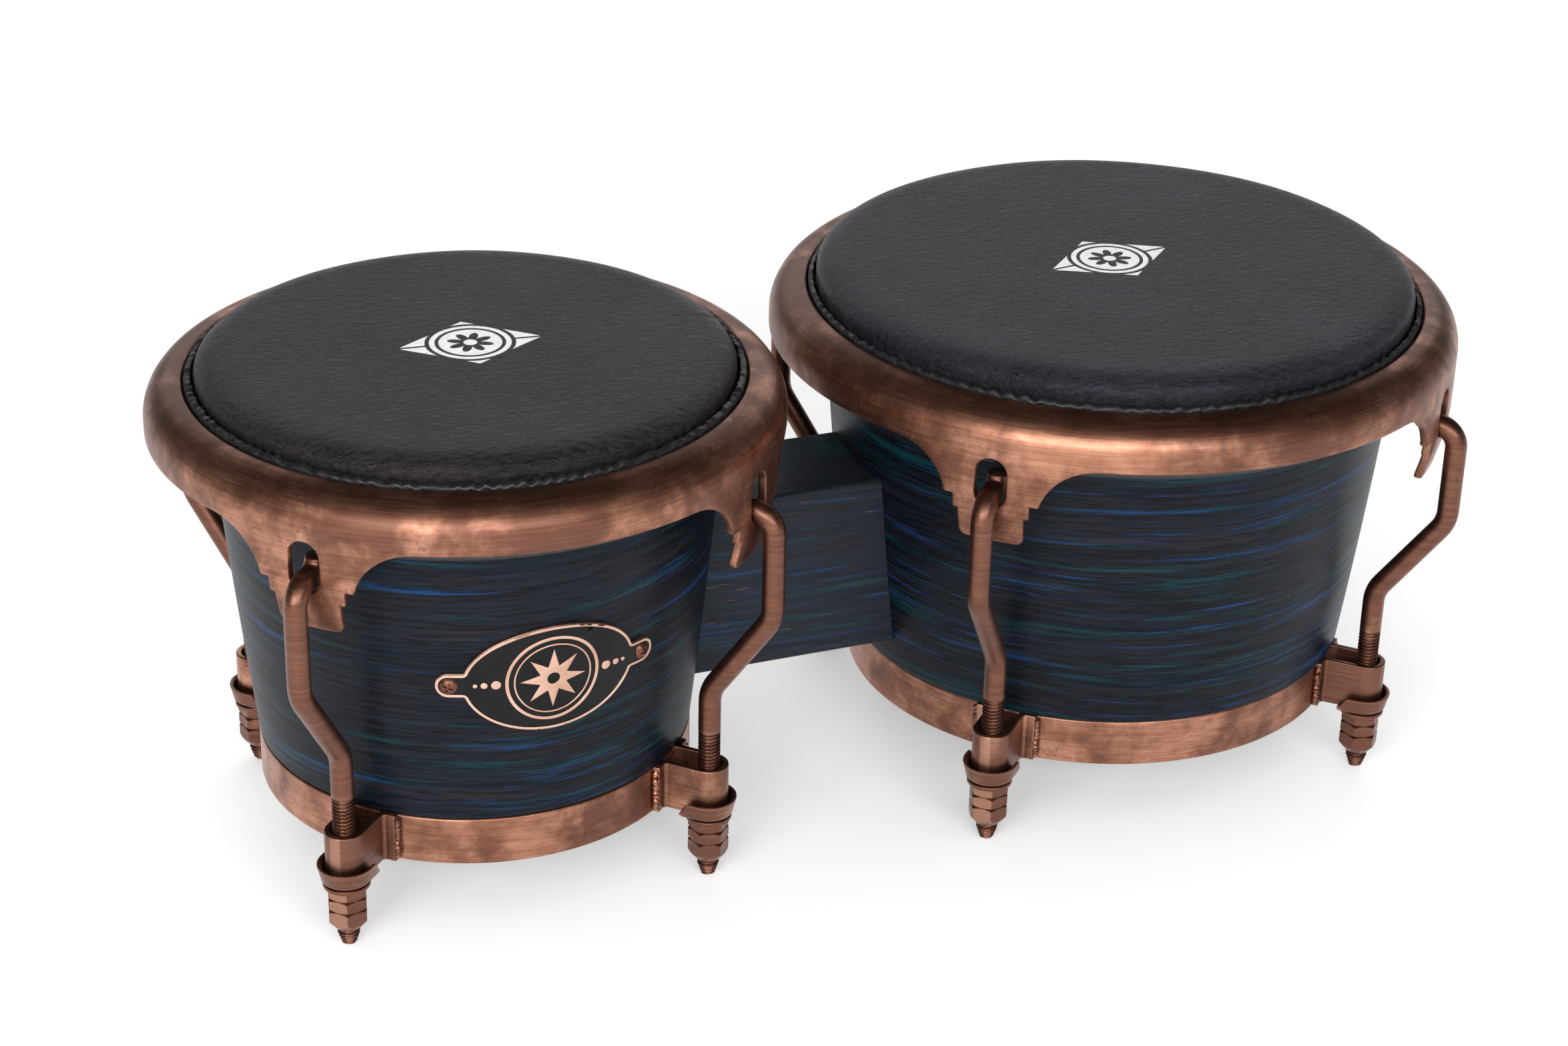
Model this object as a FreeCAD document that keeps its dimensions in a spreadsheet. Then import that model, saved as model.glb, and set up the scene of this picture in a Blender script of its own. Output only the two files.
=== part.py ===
import FreeCAD, Part
import math
import os

import Sketcher
from FreeCAD import Placement, Rotation, Vector

# A pair of bongo drums: a small drum (macho, at -X) and a large drum (hembra, at +X), joined by a
# wooden centre block and standing on the lower ends of their eight tuning rods. +Z is up, the floor
# is z = 0, and the origin is the middle of the underside of the whole pair.
# Each drum is a staved wooden shell with a steel bottom band. A pressed rim with four slotted ears
# pulls the head's flesh hoop down over the shell, by four cranked rods whose nuts bear on saddles
# under four brackets welded to the band.

# ---------------------------------------------------------------- driving dimensions, in millimetres

SHARED_SIZES = {
    # pair
    "drum_spacing": 249.2,
    # shell and band
    "wall": 11.0,
    "foot_z": 28.4,
    "band_bottom_z": 27.4,
    "band_top_z": 45.4,
    "band_thick": 2.0,
    "shell_step_z": 46.0,
    "shell_top_z": 187.7,
    "shell_swell": 1.6,
    "bearing_edge": 9.0,
    # head
    "skin": 2.0,
    "head_top_z": 189.9,
    "skirt_end_z": 170.0,
    "hoop_wire": 3.0,
    "hoop_z": 159.0,
    "tuck_top_z": 180.9,
    # rim
    "sheet": 3.0,
    "rim_width": 13.8,
    "crest_z": 179.4,
    "inner_wall_z": 163.2,
    "crest_sweep": 12.4,
    # ears of the rim
    "ear_tip_z": 129.5,
    "ear_low_step_z": 140.8,
    "ear_high_step_z": 146.0,
    "ear_root_z": 162.0,
    "ear_tip_half": 12.2,
    "ear_mid_half": 14.2,
    "ear_wide_half": 17.4,
    "ear_flare": 20.4,
    "ear_lean": 3.9,
    "slot_half": 5.7,
    "slot_bottom_z": 143.5,
    "slot_top_z": 162.0,
    # tuning rods
    "rod_radius": 3.97,
    "thread_radius": 3.65,
    "thread_top_z": 57.7,
    "tip_taper": 5.0,
    "tip_radius": 2.4,
    "hook_z": 147.8,
    "hook_end_z": 154.2,
    "hook_out": 23.4,
    "hook_back": 9.0,
    "crank_low_z": 75.4,
    "crank_high_z": 109.4,
    "crank_bend": 14.0,
    "hook_bend": 8.0,
    "hook_end_bend": 5.5,
    # tuning nuts
    "nut_bottom_z": 7.0,
    "nut_top_z": 24.0,
    "nut_corner": 7.4,
    "nut_flange": 8.3,
    "nut_flange_top_z": 25.5,
    "nut_bore": 4.0,
    "nut_low_groove_z": 15.2,
    "nut_high_groove_z": 19.9,
    "nut_nose": 4.4,
    "nut_nose_top_z": 10.6,
    # saddle washers
    "saddle_bottom_z": 25.65,
    "saddle_base": 1.9,
    "saddle_lip_z": 32.0,
    "saddle_sheet": 1.6,
    "saddle_half": 8.8,
    "saddle_in": 7.6,
    "saddle_hole": 4.6,
    # brackets
    "bracket_bottom_z": 27.6,
    "bracket_top_z": 45.9,
    "bracket_half": 7.0,
    "bracket_strap": 2.0,
    "bracket_flange": 4.5,
    "bracket_flange_thick": 1.6,
    # centre block and its bolts
    "block_half": 22.5,
    "block_bottom_z": 56.0,
    "block_top_z": 124.0,
    "bolt_low_z": 72.0,
    "bolt_high_z": 108.0,
    "bolt_radius": 3.0,
    "bolt_hole": 3.3,
    "bolt_length": 34.0,
    "bolt_head": 5.8,
    "bolt_head_high": 4.0,
    "washer_radius": 9.0,
    "washer_thick": 1.6,
    # badge
    "badge_z": 102.4,
    "badge_half_wide": 31.0,
    "badge_half_high": 20.5,
    "badge_thick": 1.4,
    "badge_tab_half": 35.4,
    "badge_tab_round": 4.6,
    "badge_screw_radius": 3.0,
    "badge_screw_head": 1.7,
    "badge_screw_shank": 1.3,
    "badge_screw_long": 9.0,
    "badge_screw_hole": 1.6,
    "badge_screw_seat": 0.55,
}
DRUM_SIZES = {
    "macho": {"foot_r": 78.0, "rebate_r": 76.0, "swell_r": 84.6, "top_r": 91.4, "head_r": 93.6, "rim_r": 97.4,
              "rod_r": 93.7, "lift": 1.7},
    "hembra": {"foot_r": 95.3, "rebate_r": 92.3, "swell_r": 102.2, "top_r": 108.5, "head_r": 110.7,
               "rim_r": 114.0, "rod_r": 110.2, "lift": -0.5},
}
LUG_ANGLES = (45, 135, 225, 315)
BADGE_ANGLE = -88
BADGE_SIDES = (("left", -1), ("right", 1))
GAP = 0.1

document = FreeCAD.newDocument("bongos")
sheet = document.addObject("Spreadsheet::Sheet", "dims")


class Size:
    """A number of millimetres with the sheet formula that gives it."""

    def __init__(self, value, formula):
        self.value = value
        self.formula = formula

    def __add__(self, other):
        other = as_size(other)
        return Size(self.value + other.value, f"({self.formula} + {other.formula})")

    def __sub__(self, other):
        other = as_size(other)
        return Size(self.value - other.value, f"({self.formula} - {other.formula})")

    def __mul__(self, other):
        other = as_size(other)
        return Size(self.value * other.value, f"({self.formula} * {other.formula})")

    def __neg__(self):
        return Size(-self.value, f"(0 - {self.formula})")

    __radd__ = __add__
    __rmul__ = __mul__


def as_size(number):
    return number if isinstance(number, Size) else Size(float(number), f"({float(number)})")


def fill_sheet():
    """Write every driving dimension to the sheet, one row each, and return them by name."""
    rows = dict(SHARED_SIZES)
    for drum, sizes in DRUM_SIZES.items():
        rows.update({f"{drum}_{name}": number for name, number in sizes.items()})
    sizes = {}
    for row, (alias, number) in enumerate(rows.items(), start=1):
        sheet.set(f"A{row}", alias)
        sheet.set(f"B{row}", str(number))
        sheet.setAlias(f"B{row}", alias)
        sizes[alias] = Size(float(number), f"dims.{alias}")
    document.recompute()
    return sizes


D = fill_sheet()


# ---------------------------------------------------------------- helpers

def bind(target, path, size):
    """Set a property of an object from a formula on the sheet."""
    target.setExpression(path, as_size(size).formula)


def new_body(name):
    body = document.addObject("PartDesign::Body", name)
    body.Label = name
    return body


def origin_feature(body, role):
    return next(feature for feature in body.Origin.OriginFeatures if feature.Role == role)


def place_point(sketch, geometry, end, across, up):
    """Fix a sketch point at a place given from the sketch's origin."""
    for kind, size, axis in (("X", as_size(across), -2), ("Y", as_size(up), -1)):
        if size.value == 0:
            sketch.addConstraint(Sketcher.Constraint("PointOnObject", geometry, end, axis))
        else:
            index = sketch.addConstraint(
                Sketcher.Constraint("Distance" + kind, -1, 1, geometry, end, size.value))
            sketch.setExpression(f"Constraints[{index}]", size.formula)


def rounded_corner(before, corner, after, radius):
    """Centre and the two tangent points of an arc that rounds a corner; left is True for a left turn."""
    inward = (corner - before).normalize()
    outward = (after - corner).normalize()
    turn = math.acos(max(-1.0, min(1.0, inward.dot(outward))))
    reach = radius * math.tan(turn / 2)
    start = corner - inward * reach
    end = corner + outward * reach
    left = inward.cross(outward).z > 0
    side = Vector(-inward.y, inward.x, 0) * (1 if left else -1)
    return start + side * radius, start, end, left


def add_outline(sketch, corners, closed=True):
    """Draw a chain of lines through corners (across, up) or (across, up, radius of the rounded corner)."""
    corners = [tuple(as_size(number) for number in corner) for corner in corners]
    points = [Vector(corner[0].value, corner[1].value, 0) for corner in corners]
    count = len(corners)
    starts, ends, arcs = list(points), list(points), {}
    for i, corner in enumerate(corners):
        if len(corner) == 3:
            centre, tangent_in, tangent_out, left = rounded_corner(
                points[i - 1], points[i], points[(i + 1) % count], corner[2].value)
            ends[i], starts[i] = tangent_in, tangent_out
            arcs[i] = (centre, left)
    lines = {}
    for i in range(count if closed else count - 1):
        line = Part.LineSegment(starts[i], ends[(i + 1) % count])
        lines[i] = sketch.addGeometry(line, False)
    for i, corner in enumerate(corners):
        line_in = lines.get((i - 1) % count if closed else i - 1)
        line_out = lines.get(i)
        if i not in arcs:
            if line_in is None or line_out is None:
                place_point(sketch, *((line_out, 1) if line_in is None else (line_in, 2)), corner[0], corner[1])
            else:
                sketch.addConstraint(Sketcher.Constraint("Coincident", line_in, 2, line_out, 1))
                place_point(sketch, line_out, 1, corner[0], corner[1])
            continue
        centre, left = arcs[i]
        first, last = (ends[i], starts[i]) if left else (starts[i], ends[i])
        circle = Part.Circle(centre, Vector(0, 0, 1), corner[2].value)
        from_angle, to_angle = (math.atan2(p.y - centre.y, p.x - centre.x) for p in (first, last))
        arc = sketch.addGeometry(Part.ArcOfCircle(circle, from_angle, to_angle), False)
        apex = sketch.addGeometry(Part.Point(points[i]), True)
        place_point(sketch, apex, 1, corner[0], corner[1])
        sketch.addConstraint([
            Sketcher.Constraint("PointOnObject", apex, 1, line_in),
            Sketcher.Constraint("PointOnObject", apex, 1, line_out),
            Sketcher.Constraint("Tangent", line_in, 2, arc, 1 if left else 2),
            Sketcher.Constraint("Tangent", line_out, 1, arc, 2 if left else 1),
        ])
        index = sketch.addConstraint(Sketcher.Constraint("Radius", arc, corner[2].value))
        sketch.setExpression(f"Constraints[{index}]", corner[2].formula)


def add_circle(sketch, across, up, radius):
    across, up, radius = as_size(across), as_size(up), as_size(radius)
    centre = Vector(across.value, up.value, 0)
    circle = sketch.addGeometry(Part.Circle(centre, Vector(0, 0, 1), radius.value), False)
    place_point(sketch, circle, 3, across, up)
    index = sketch.addConstraint(Sketcher.Constraint("Radius", circle, radius.value))
    sketch.setExpression(f"Constraints[{index}]", radius.formula)


def new_sketch(body, name, plane, lift=0):
    """Sketch on one of the body's origin planes, lifted along the plane's normal."""
    sketch = body.newObject("Sketcher::SketchObject", name)
    sketch.AttachmentSupport = [(origin_feature(body, plane), "")]
    sketch.MapMode = "FlatFace"
    bind(sketch, ".AttachmentOffset.Base.z", lift)
    return sketch


def outline_sketch(body, name, plane, corners, lift=0, closed=True):
    sketch = new_sketch(body, name, plane, lift)
    add_outline(sketch, corners, closed)
    return sketch


def circle_sketch(body, name, plane, across, up, radius, lift=0):
    sketch = new_sketch(body, name, plane, lift)
    add_circle(sketch, across, up, radius)
    return sketch


def spin(body, sketch, kind="Revolution"):
    """Turn a sketch right round the body's Z axis, adding (Revolution) or cutting (Groove)."""
    feature = body.newObject("PartDesign::" + kind, sketch.Name + "_spin")
    feature.Profile = sketch
    feature.ReferenceAxis = (sketch, ["V_Axis"])
    feature.Angle = 360
    sketch.Visibility = False
    return feature


def extrude(body, sketch, length, kind="Pad", reversed_way=False):
    """Pad or pocket a sketch along its plane's normal; a pocket cuts that way when reversed_way is set."""
    feature = body.newObject("PartDesign::" + kind, sketch.Name + "_" + kind.lower())
    feature.Profile = sketch
    feature.Type = 0
    bind(feature, "Length", length)
    feature.Reversed = reversed_way
    return feature


def polar(body, feature, name, count):
    """Repeat a feature round the body's Z axis."""
    pattern = body.newObject("PartDesign::PolarPattern", name)
    pattern.Originals = [feature]
    pattern.Axis = (origin_feature(body, "Z_Axis"), [""])
    pattern.Angle = 360
    pattern.Occurrences = count
    body.Tip = pattern
    return pattern


def place(item, x=0, y=0, angle=0, z=0):
    """Put an item at a place in the pair's frame, turned about the vertical."""
    item.Placement = Placement(Vector(0, 0, 0), Rotation(Vector(0, 0, 1), angle))
    for axis, size in (("x", x), ("y", y), ("z", z)):
        bind(item, f".Placement.Base.{axis}", size)


# The widest points of the pair are the outsides of the two rims, so the origin halves that span.
SPAN_SHIFT = (D["hembra_rim_r"] - D["macho_rim_r"]) * 0.5
DRUM_X = {"macho": -(D["drum_spacing"] * 0.5) - SPAN_SHIFT, "hembra": D["drum_spacing"] * 0.5 - SPAN_SHIFT}


def drum_sizes(drum):
    return {name: D[f"{drum}_{name}"] for name in DRUM_SIZES[drum]}


def lug_place(drum, angle):
    """Where a tuning rod's axis stands, for a lug at an angle round its drum."""
    radius = D[f"{drum}_rod_r"]
    return DRUM_X[drum] + radius * math.cos(math.radians(angle)), radius * math.sin(math.radians(angle))


# ---------------------------------------------------------------- shells, bands and heads

def shell_outer_corners(drum, extra=0.0):
    """The shell's outer line from the step above the band to the top, with its slight swell."""
    r = drum_sizes(drum)
    swell_z = (D["shell_step_z"] + D["shell_top_z"]) * 0.5
    return [
        (r["foot_r"] + extra, D["shell_step_z"]),
        (r["swell_r"] + D["shell_swell"] + extra, swell_z, 2400),
        (r["top_r"] + extra, D["shell_top_z"], D["bearing_edge"]),
    ]


def make_shell(drum):
    """Staved shell: rebated for the band at the foot, rounded over at the bearing edge."""
    r = drum_sizes(drum)
    body = new_body(f"{drum}_shell")
    profile = outline_sketch(body, f"{drum}_shell_profile", "XZ_Plane", [
        (r["foot_r"] - D["wall"], D["foot_z"]),
        (r["rebate_r"], D["foot_z"]),
        (r["rebate_r"], D["shell_step_z"]),
        *shell_outer_corners(drum),
        (r["top_r"] - D["wall"], D["shell_top_z"], 1.5),
    ])
    spin(body, profile)
    toward_block = 1 if drum == "macho" else -1
    for level in ("low", "high"):
        hole = circle_sketch(body, f"{drum}_{level}_bolt_hole", "YZ_Plane", 0, D[f"bolt_{level}_z"],
                             D["bolt_hole"])
        extrude(body, hole, r["top_r"] + D["wall"], "Pocket", reversed_way=toward_block > 0)
    place(body, DRUM_X[drum])
    return body


def make_band(drum):
    """Steel bottom band, shrunk on the shell's rebate."""
    r = drum_sizes(drum)
    inner = r["rebate_r"] + GAP
    outer = r["rebate_r"] + D["band_thick"]
    body = new_body(f"{drum}_bottom_band")
    profile = outline_sketch(body, f"{drum}_band_profile", "XZ_Plane", [
        (inner, D["band_bottom_z"]),
        (outer, D["band_bottom_z"], 0.7),
        (outer, D["band_top_z"], 0.7),
        (inner, D["band_top_z"]),
    ])
    spin(body, profile)
    place(body, DRUM_X[drum])
    return body


def make_head(drum):
    """Playing skin: flat over the shell, with a broad shoulder and a skirt down inside the rim."""
    r = drum_sizes(drum)
    outer = r["head_r"]
    inner = outer - D["skin"]
    under_z = D["head_top_z"] - D["skin"]
    body = new_body(f"{drum}_head")
    profile = outline_sketch(body, f"{drum}_head_profile", "XZ_Plane", [
        (0, under_z),
        (outer - 7.6, under_z, 20),
        (inner, under_z - 3.0, 2),
        (inner, D["skirt_end_z"]),
        (outer, D["skirt_end_z"]),
        (outer, D["head_top_z"] - 3.8, 2.6),
        (outer - 7.1, D["head_top_z"], 24),
        (0, D["head_top_z"]),
    ])
    spin(body, profile)
    place(body, DRUM_X[drum])
    return body


def hoop_radius(drum):
    """Radius of the flesh hoop's centre line, under the rim's inner wall."""
    return D[f"{drum}_rim_r"] + 1.0


def make_head_tuck(drum):
    """The head's edge: wrapped round the flesh hoop, its trimmed end standing up inside the rim."""
    r = drum_sizes(drum)
    wrap = D["hoop_wire"] + 1.0
    body = new_body(f"{drum}_head_tuck")
    strip = outline_sketch(body, f"{drum}_tuck_strip", "XZ_Plane", [
        (r["head_r"] + 0.8, D["hoop_z"]),
        (r["rim_r"] - 0.5, D["hoop_z"]),
        (r["rim_r"] - 0.5, D["tuck_top_z"]),
        (r["head_r"] + 0.8, D["tuck_top_z"]),
    ])
    spin(body, strip)
    wrapped = circle_sketch(body, f"{drum}_tuck_wrap", "XZ_Plane", hoop_radius(drum), D["hoop_z"], wrap)
    spin(body, wrapped)
    bore = circle_sketch(body, f"{drum}_tuck_bore", "XZ_Plane", hoop_radius(drum), D["hoop_z"],
                         D["hoop_wire"] + GAP)
    spin(body, bore, "Groove")
    place(body, DRUM_X[drum], z=r["lift"])
    return body


def make_flesh_hoop(drum):
    """Round steel hoop inside the head's tucked edge."""
    hoop = document.addObject("Part::Torus", f"{drum}_flesh_hoop")
    hoop.Label = f"{drum}_flesh_hoop"
    bind(hoop, "Radius1", hoop_radius(drum))
    bind(hoop, "Radius2", D["hoop_wire"])
    place(hoop, DRUM_X[drum], z=D["hoop_z"] + D[f"{drum}_lift"])
    return hoop


# ---------------------------------------------------------------- rims

def make_rim(drum):
    """Pressed rim, an upside-down channel with a swept outer wall, and four slotted ears on that wall."""
    r = drum_sizes(drum)
    inner = r["rim_r"]
    outer = inner + D["rim_width"]
    ear_back = outer - D["sheet"]
    lean = D["ear_lean"]
    stock_end_z = D["ear_tip_z"] - 2
    body = new_body(f"{drum}_rim")
    channel = outline_sketch(body, f"{drum}_rim_section", "XZ_Plane", [
        (inner, D["inner_wall_z"]),
        (inner + D["sheet"], D["inner_wall_z"]),
        (inner + D["sheet"], D["crest_z"] - D["sheet"], 1),
        (ear_back, D["crest_z"] - D["sheet"], D["crest_sweep"] - D["sheet"] * 2),
        (ear_back, D["ear_low_step_z"], 40),
        (ear_back - lean, stock_end_z),
        (outer - lean, stock_end_z),
        (outer, D["ear_low_step_z"], 40),
        (outer, D["crest_z"], D["crest_sweep"]),
        (inner, D["crest_z"], 1.2),
    ])
    spin(body, channel)

    right_side = [
        (D["ear_wide_half"] + 4, D["ear_root_z"], D["ear_flare"]),
        (D["ear_wide_half"], D["ear_high_step_z"]),
        (D["ear_mid_half"], D["ear_high_step_z"]),
        (D["ear_mid_half"], D["ear_low_step_z"]),
        (D["ear_tip_half"], D["ear_low_step_z"]),
        (D["ear_tip_half"], D["ear_tip_z"], 3),
    ]
    left_side = [(-corner[0], *corner[1:]) for corner in reversed(right_side)]
    side = outer * 0.75
    waste = outline_sketch(body, f"{drum}_between_ears", "YZ_Plane", [
        (side, D["ear_root_z"]),
        *right_side,
        *left_side,
        (-side, D["ear_root_z"]),
        (-side, stock_end_z - 3),
        (side, stock_end_z - 3),
    ], lift=outer * 0.5)
    waste_pocket = extrude(body, waste, outer * 0.5 + 5, "Pocket", reversed_way=True)
    polar(body, waste_pocket, f"{drum}_ears", len(LUG_ANGLES))

    slot = outline_sketch(body, f"{drum}_slot_outline", "YZ_Plane", [
        (-D["slot_half"], D["slot_bottom_z"], D["slot_half"] - 0.05),
        (D["slot_half"], D["slot_bottom_z"], D["slot_half"] - 0.05),
        (D["slot_half"], D["slot_top_z"], D["slot_half"] - 0.05),
        (-D["slot_half"], D["slot_top_z"], D["slot_half"] - 0.05),
    ], lift=inner + 3.6)
    slot_pocket = extrude(body, slot, D["rim_width"] + 14, "Pocket", reversed_way=True)
    polar(body, slot_pocket, f"{drum}_slots", len(LUG_ANGLES))
    place(body, DRUM_X[drum], angle=LUG_ANGLES[0], z=r["lift"])
    return body


# ---------------------------------------------------------------- tuning hardware, one of each per lug

def make_hook(drum, number, angle):
    """Tuning rod: threaded below, cranked outward, and hooked through the ear's slot."""
    name = f"{drum}_hook_{number}"
    lift = D[f"{drum}_lift"]
    body = new_body(name)
    wire = circle_sketch(body, f"{name}_section", "XY_Plane", 0, 0, D["rod_radius"])
    path = outline_sketch(body, f"{name}_path", "XZ_Plane", [
        (0, 0),
        (0, D["crank_low_z"], D["crank_bend"]),
        (D["hook_out"], D["crank_high_z"], D["crank_bend"]),
        (D["hook_out"], D["hook_z"] + lift, D["hook_bend"]),
        (D["hook_back"], D["hook_z"] + lift, D["hook_end_bend"]),
        (D["hook_back"], D["hook_end_z"] + lift),
    ], closed=False)
    pipe = body.newObject("PartDesign::AdditivePipe", f"{name}_pipe")
    pipe.Profile = wire
    pipe.Spine = path
    thread = outline_sketch(body, f"{name}_thread", "XZ_Plane", [
        (D["thread_radius"], D["thread_top_z"]),
        (D["thread_radius"], D["tip_taper"]),
        (D["tip_radius"], 0),
        (D["rod_radius"] + 2, 0),
        (D["rod_radius"] + 2, D["thread_top_z"]),
    ])
    spin(body, thread, "Groove")
    place(body, *lug_place(drum, angle), angle)
    return body


def make_nut(drum, number, angle):
    """Long hexagonal tuning nut with a flange, two turned grooves and a coned nose."""
    name = f"{drum}_tuning_nut_{number}"
    body = new_body(name)
    corner = D["nut_corner"]
    six = [(corner * math.cos(math.radians(60 * i)), corner * math.sin(math.radians(60 * i)))
           for i in range(6)]
    six[0], six[3] = (corner, 0), (-corner, 0)
    hexagon = outline_sketch(body, f"{name}_hexagon", "XY_Plane", six, lift=D["nut_bottom_z"])
    extrude(body, hexagon, D["nut_top_z"] - D["nut_bottom_z"])
    flange = circle_sketch(body, f"{name}_flange", "XY_Plane", 0, 0, D["nut_flange"], lift=D["nut_top_z"])
    extrude(body, flange, D["nut_flange_top_z"] - D["nut_top_z"])
    nose = outline_sketch(body, f"{name}_nose", "XZ_Plane", [
        (D["nut_nose"], D["nut_bottom_z"]),
        (corner + 1, D["nut_bottom_z"]),
        (corner + 1, D["nut_nose_top_z"] + 1),
        (corner, D["nut_nose_top_z"]),
    ])
    spin(body, nose, "Groove")
    for level in ("low", "high"):
        middle = D[f"nut_{level}_groove_z"]
        groove = outline_sketch(body, f"{name}_{level}_groove", "XZ_Plane", [
            (corner - 1.2, middle),
            (corner + 0.6, middle - 0.9),
            (corner + 0.6, middle + 0.9),
        ])
        spin(body, groove, "Groove")
    bore = circle_sketch(body, f"{name}_bore", "XY_Plane", 0, 0, D["nut_bore"], lift=D["nut_bottom_z"] - 1)
    extrude(body, bore, D["nut_flange_top_z"] - D["nut_bottom_z"] + 2, "Pocket", reversed_way=True)
    place(body, *lug_place(drum, angle), angle)
    return body


def saddle_corners(drum, inset=0.0):
    """Plan of a saddle washer: open towards the band, with a rounded outer end."""
    half = D["saddle_half"] - inset
    inner_end = -D["saddle_in"] if inset == 0 else -D["saddle_in"] - 1
    return [(inner_end, -half), (half, -half, half - 0.1), (half, half, half - 0.1), (inner_end, half)]


def make_saddle(drum, number, angle):
    """Stamped saddle washer between the nut and the bracket, with a lip turned up round it."""
    name = f"{drum}_saddle_{number}"
    body = new_body(name)
    top_of_base = D["saddle_bottom_z"] + D["saddle_base"]
    plate = outline_sketch(body, f"{name}_plan", "XY_Plane", saddle_corners(drum), lift=D["saddle_bottom_z"])
    extrude(body, plate, D["saddle_lip_z"] - D["saddle_bottom_z"])
    dish = outline_sketch(body, f"{name}_dish", "XY_Plane", saddle_corners(drum, D["saddle_sheet"].value),
                          lift=top_of_base)
    extrude(body, dish, D["saddle_lip_z"] - top_of_base + 1, "Pocket", reversed_way=True)
    hole = circle_sketch(body, f"{name}_hole", "XY_Plane", 0, 0, D["saddle_hole"],
                         lift=D["saddle_bottom_z"] - 1)
    extrude(body, hole, D["saddle_base"] + 2, "Pocket", reversed_way=True)
    place(body, *lug_place(drum, angle), angle)
    return body


def make_bracket(drum, number, angle):
    """Strap bracket bent round the rod, its two feet trimmed to the band that they are welded to."""
    name = f"{drum}_bracket_{number}"
    r = drum_sizes(drum)
    body = new_body(name)
    outer = D["bracket_half"]
    inner = outer - D["bracket_strap"]
    band = r["rebate_r"] + D["band_thick"]
    foot = band - r["rod_r"]
    foot_face = foot + D["bracket_flange_thick"]
    reach = outer + D["bracket_flange"]
    buried = foot - 2
    strap = outline_sketch(body, f"{name}_plan", "XY_Plane", [
        (buried, -reach),
        (foot_face, -reach),
        (foot_face, -outer, 1.2),
        (outer, -outer, outer - 0.1),
        (outer, outer, outer - 0.1),
        (foot_face, outer, 1.2),
        (foot_face, reach),
        (buried, reach),
        (buried, inner),
        (inner, inner, inner - 0.1),
        (inner, -inner, inner - 0.1),
        (buried, -inner),
    ], lift=D["bracket_bottom_z"])
    extrude(body, strap, D["bracket_top_z"] - D["bracket_bottom_z"])
    seat = circle_sketch(body, f"{name}_seat", "XY_Plane", -r["rod_r"], 0, band + 0.05,
                         lift=D["bracket_bottom_z"] - 1)
    extrude(body, seat, D["bracket_top_z"] - D["bracket_bottom_z"] + 2, "Pocket", reversed_way=True)
    place(body, *lug_place(drum, angle), angle)
    return body


# ---------------------------------------------------------------- centre block and its bolts

def make_shell_plug(drum):
    """A solid of the shell's outer form, to cope the centre block to it."""
    outer = shell_outer_corners(drum, GAP)
    body = new_body(f"{drum}_cope")
    profile = outline_sketch(body, f"{drum}_cope_profile", "XZ_Plane", [
        (0, D["shell_step_z"]),
        *outer,
        (0, D["shell_top_z"]),
    ])
    spin(body, profile)
    place(body, DRUM_X[drum])
    return body


def bolt_row(drum):
    """For each of a drum's two bolts: x of the shell's inner face, height, and the way to the block."""
    way = 1 if drum == "macho" else -1
    foot = D[f"{drum}_foot_r"]
    rise = (D[f"{drum}_top_r"] - foot).value / (D["shell_top_z"] - D["shell_step_z"]).value
    for level in ("low", "high"):
        height = D[f"bolt_{level}_z"]
        inner = foot - D["wall"] + (height - D["shell_step_z"]) * rise
        yield level, DRUM_X[drum] + inner * way, height, way


def lying_cylinder(name, x, z, radius, length, way):
    """Round bar that lies along X, starting at x and running way (+1 or -1) by its length."""
    bar = document.addObject("Part::Cylinder", name)
    bind(bar, "Radius", radius)
    bind(bar, "Height", length)
    bar.Placement = Placement(Vector(0, 0, 0), Rotation(Vector(0, 1, 0), 90 * way))
    bind(bar, ".Placement.Base.x", x)
    bind(bar, ".Placement.Base.z", z)
    return bar


def make_block():
    """Centre block between the drums, its ends coped to the shells and bored for the bolts."""
    half_long = (D["drum_spacing"] - D["macho_foot_r"]) * 0.5
    box = document.addObject("Part::Box", "block_blank")
    bind(box, "Length", half_long * 2)
    bind(box, "Width", D["block_half"] * 2)
    bind(box, "Height", D["block_top_z"] - D["block_bottom_z"])
    bind(box, ".Placement.Base.x", DRUM_X["macho"] + D["macho_foot_r"] - 8)
    bind(box, ".Placement.Base.y", -D["block_half"])
    bind(box, ".Placement.Base.z", D["block_bottom_z"])
    tools = [make_shell_plug(drum) for drum in DRUM_SIZES]
    for drum in DRUM_SIZES:
        for level, x, height, way in bolt_row(drum):
            tools.append(lying_cylinder(f"{drum}_{level}_pilot", x, height, D["bolt_radius"] + GAP,
                                        D["bolt_length"] + 2, way))
    cutter = document.addObject("Part::MultiFuse", "block_cutter")
    cutter.Shapes = tools
    block = document.addObject("Part::Cut", "centre_block")
    block.Base = box
    block.Tool = cutter
    block.Label = "centre_block"
    return block


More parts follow.
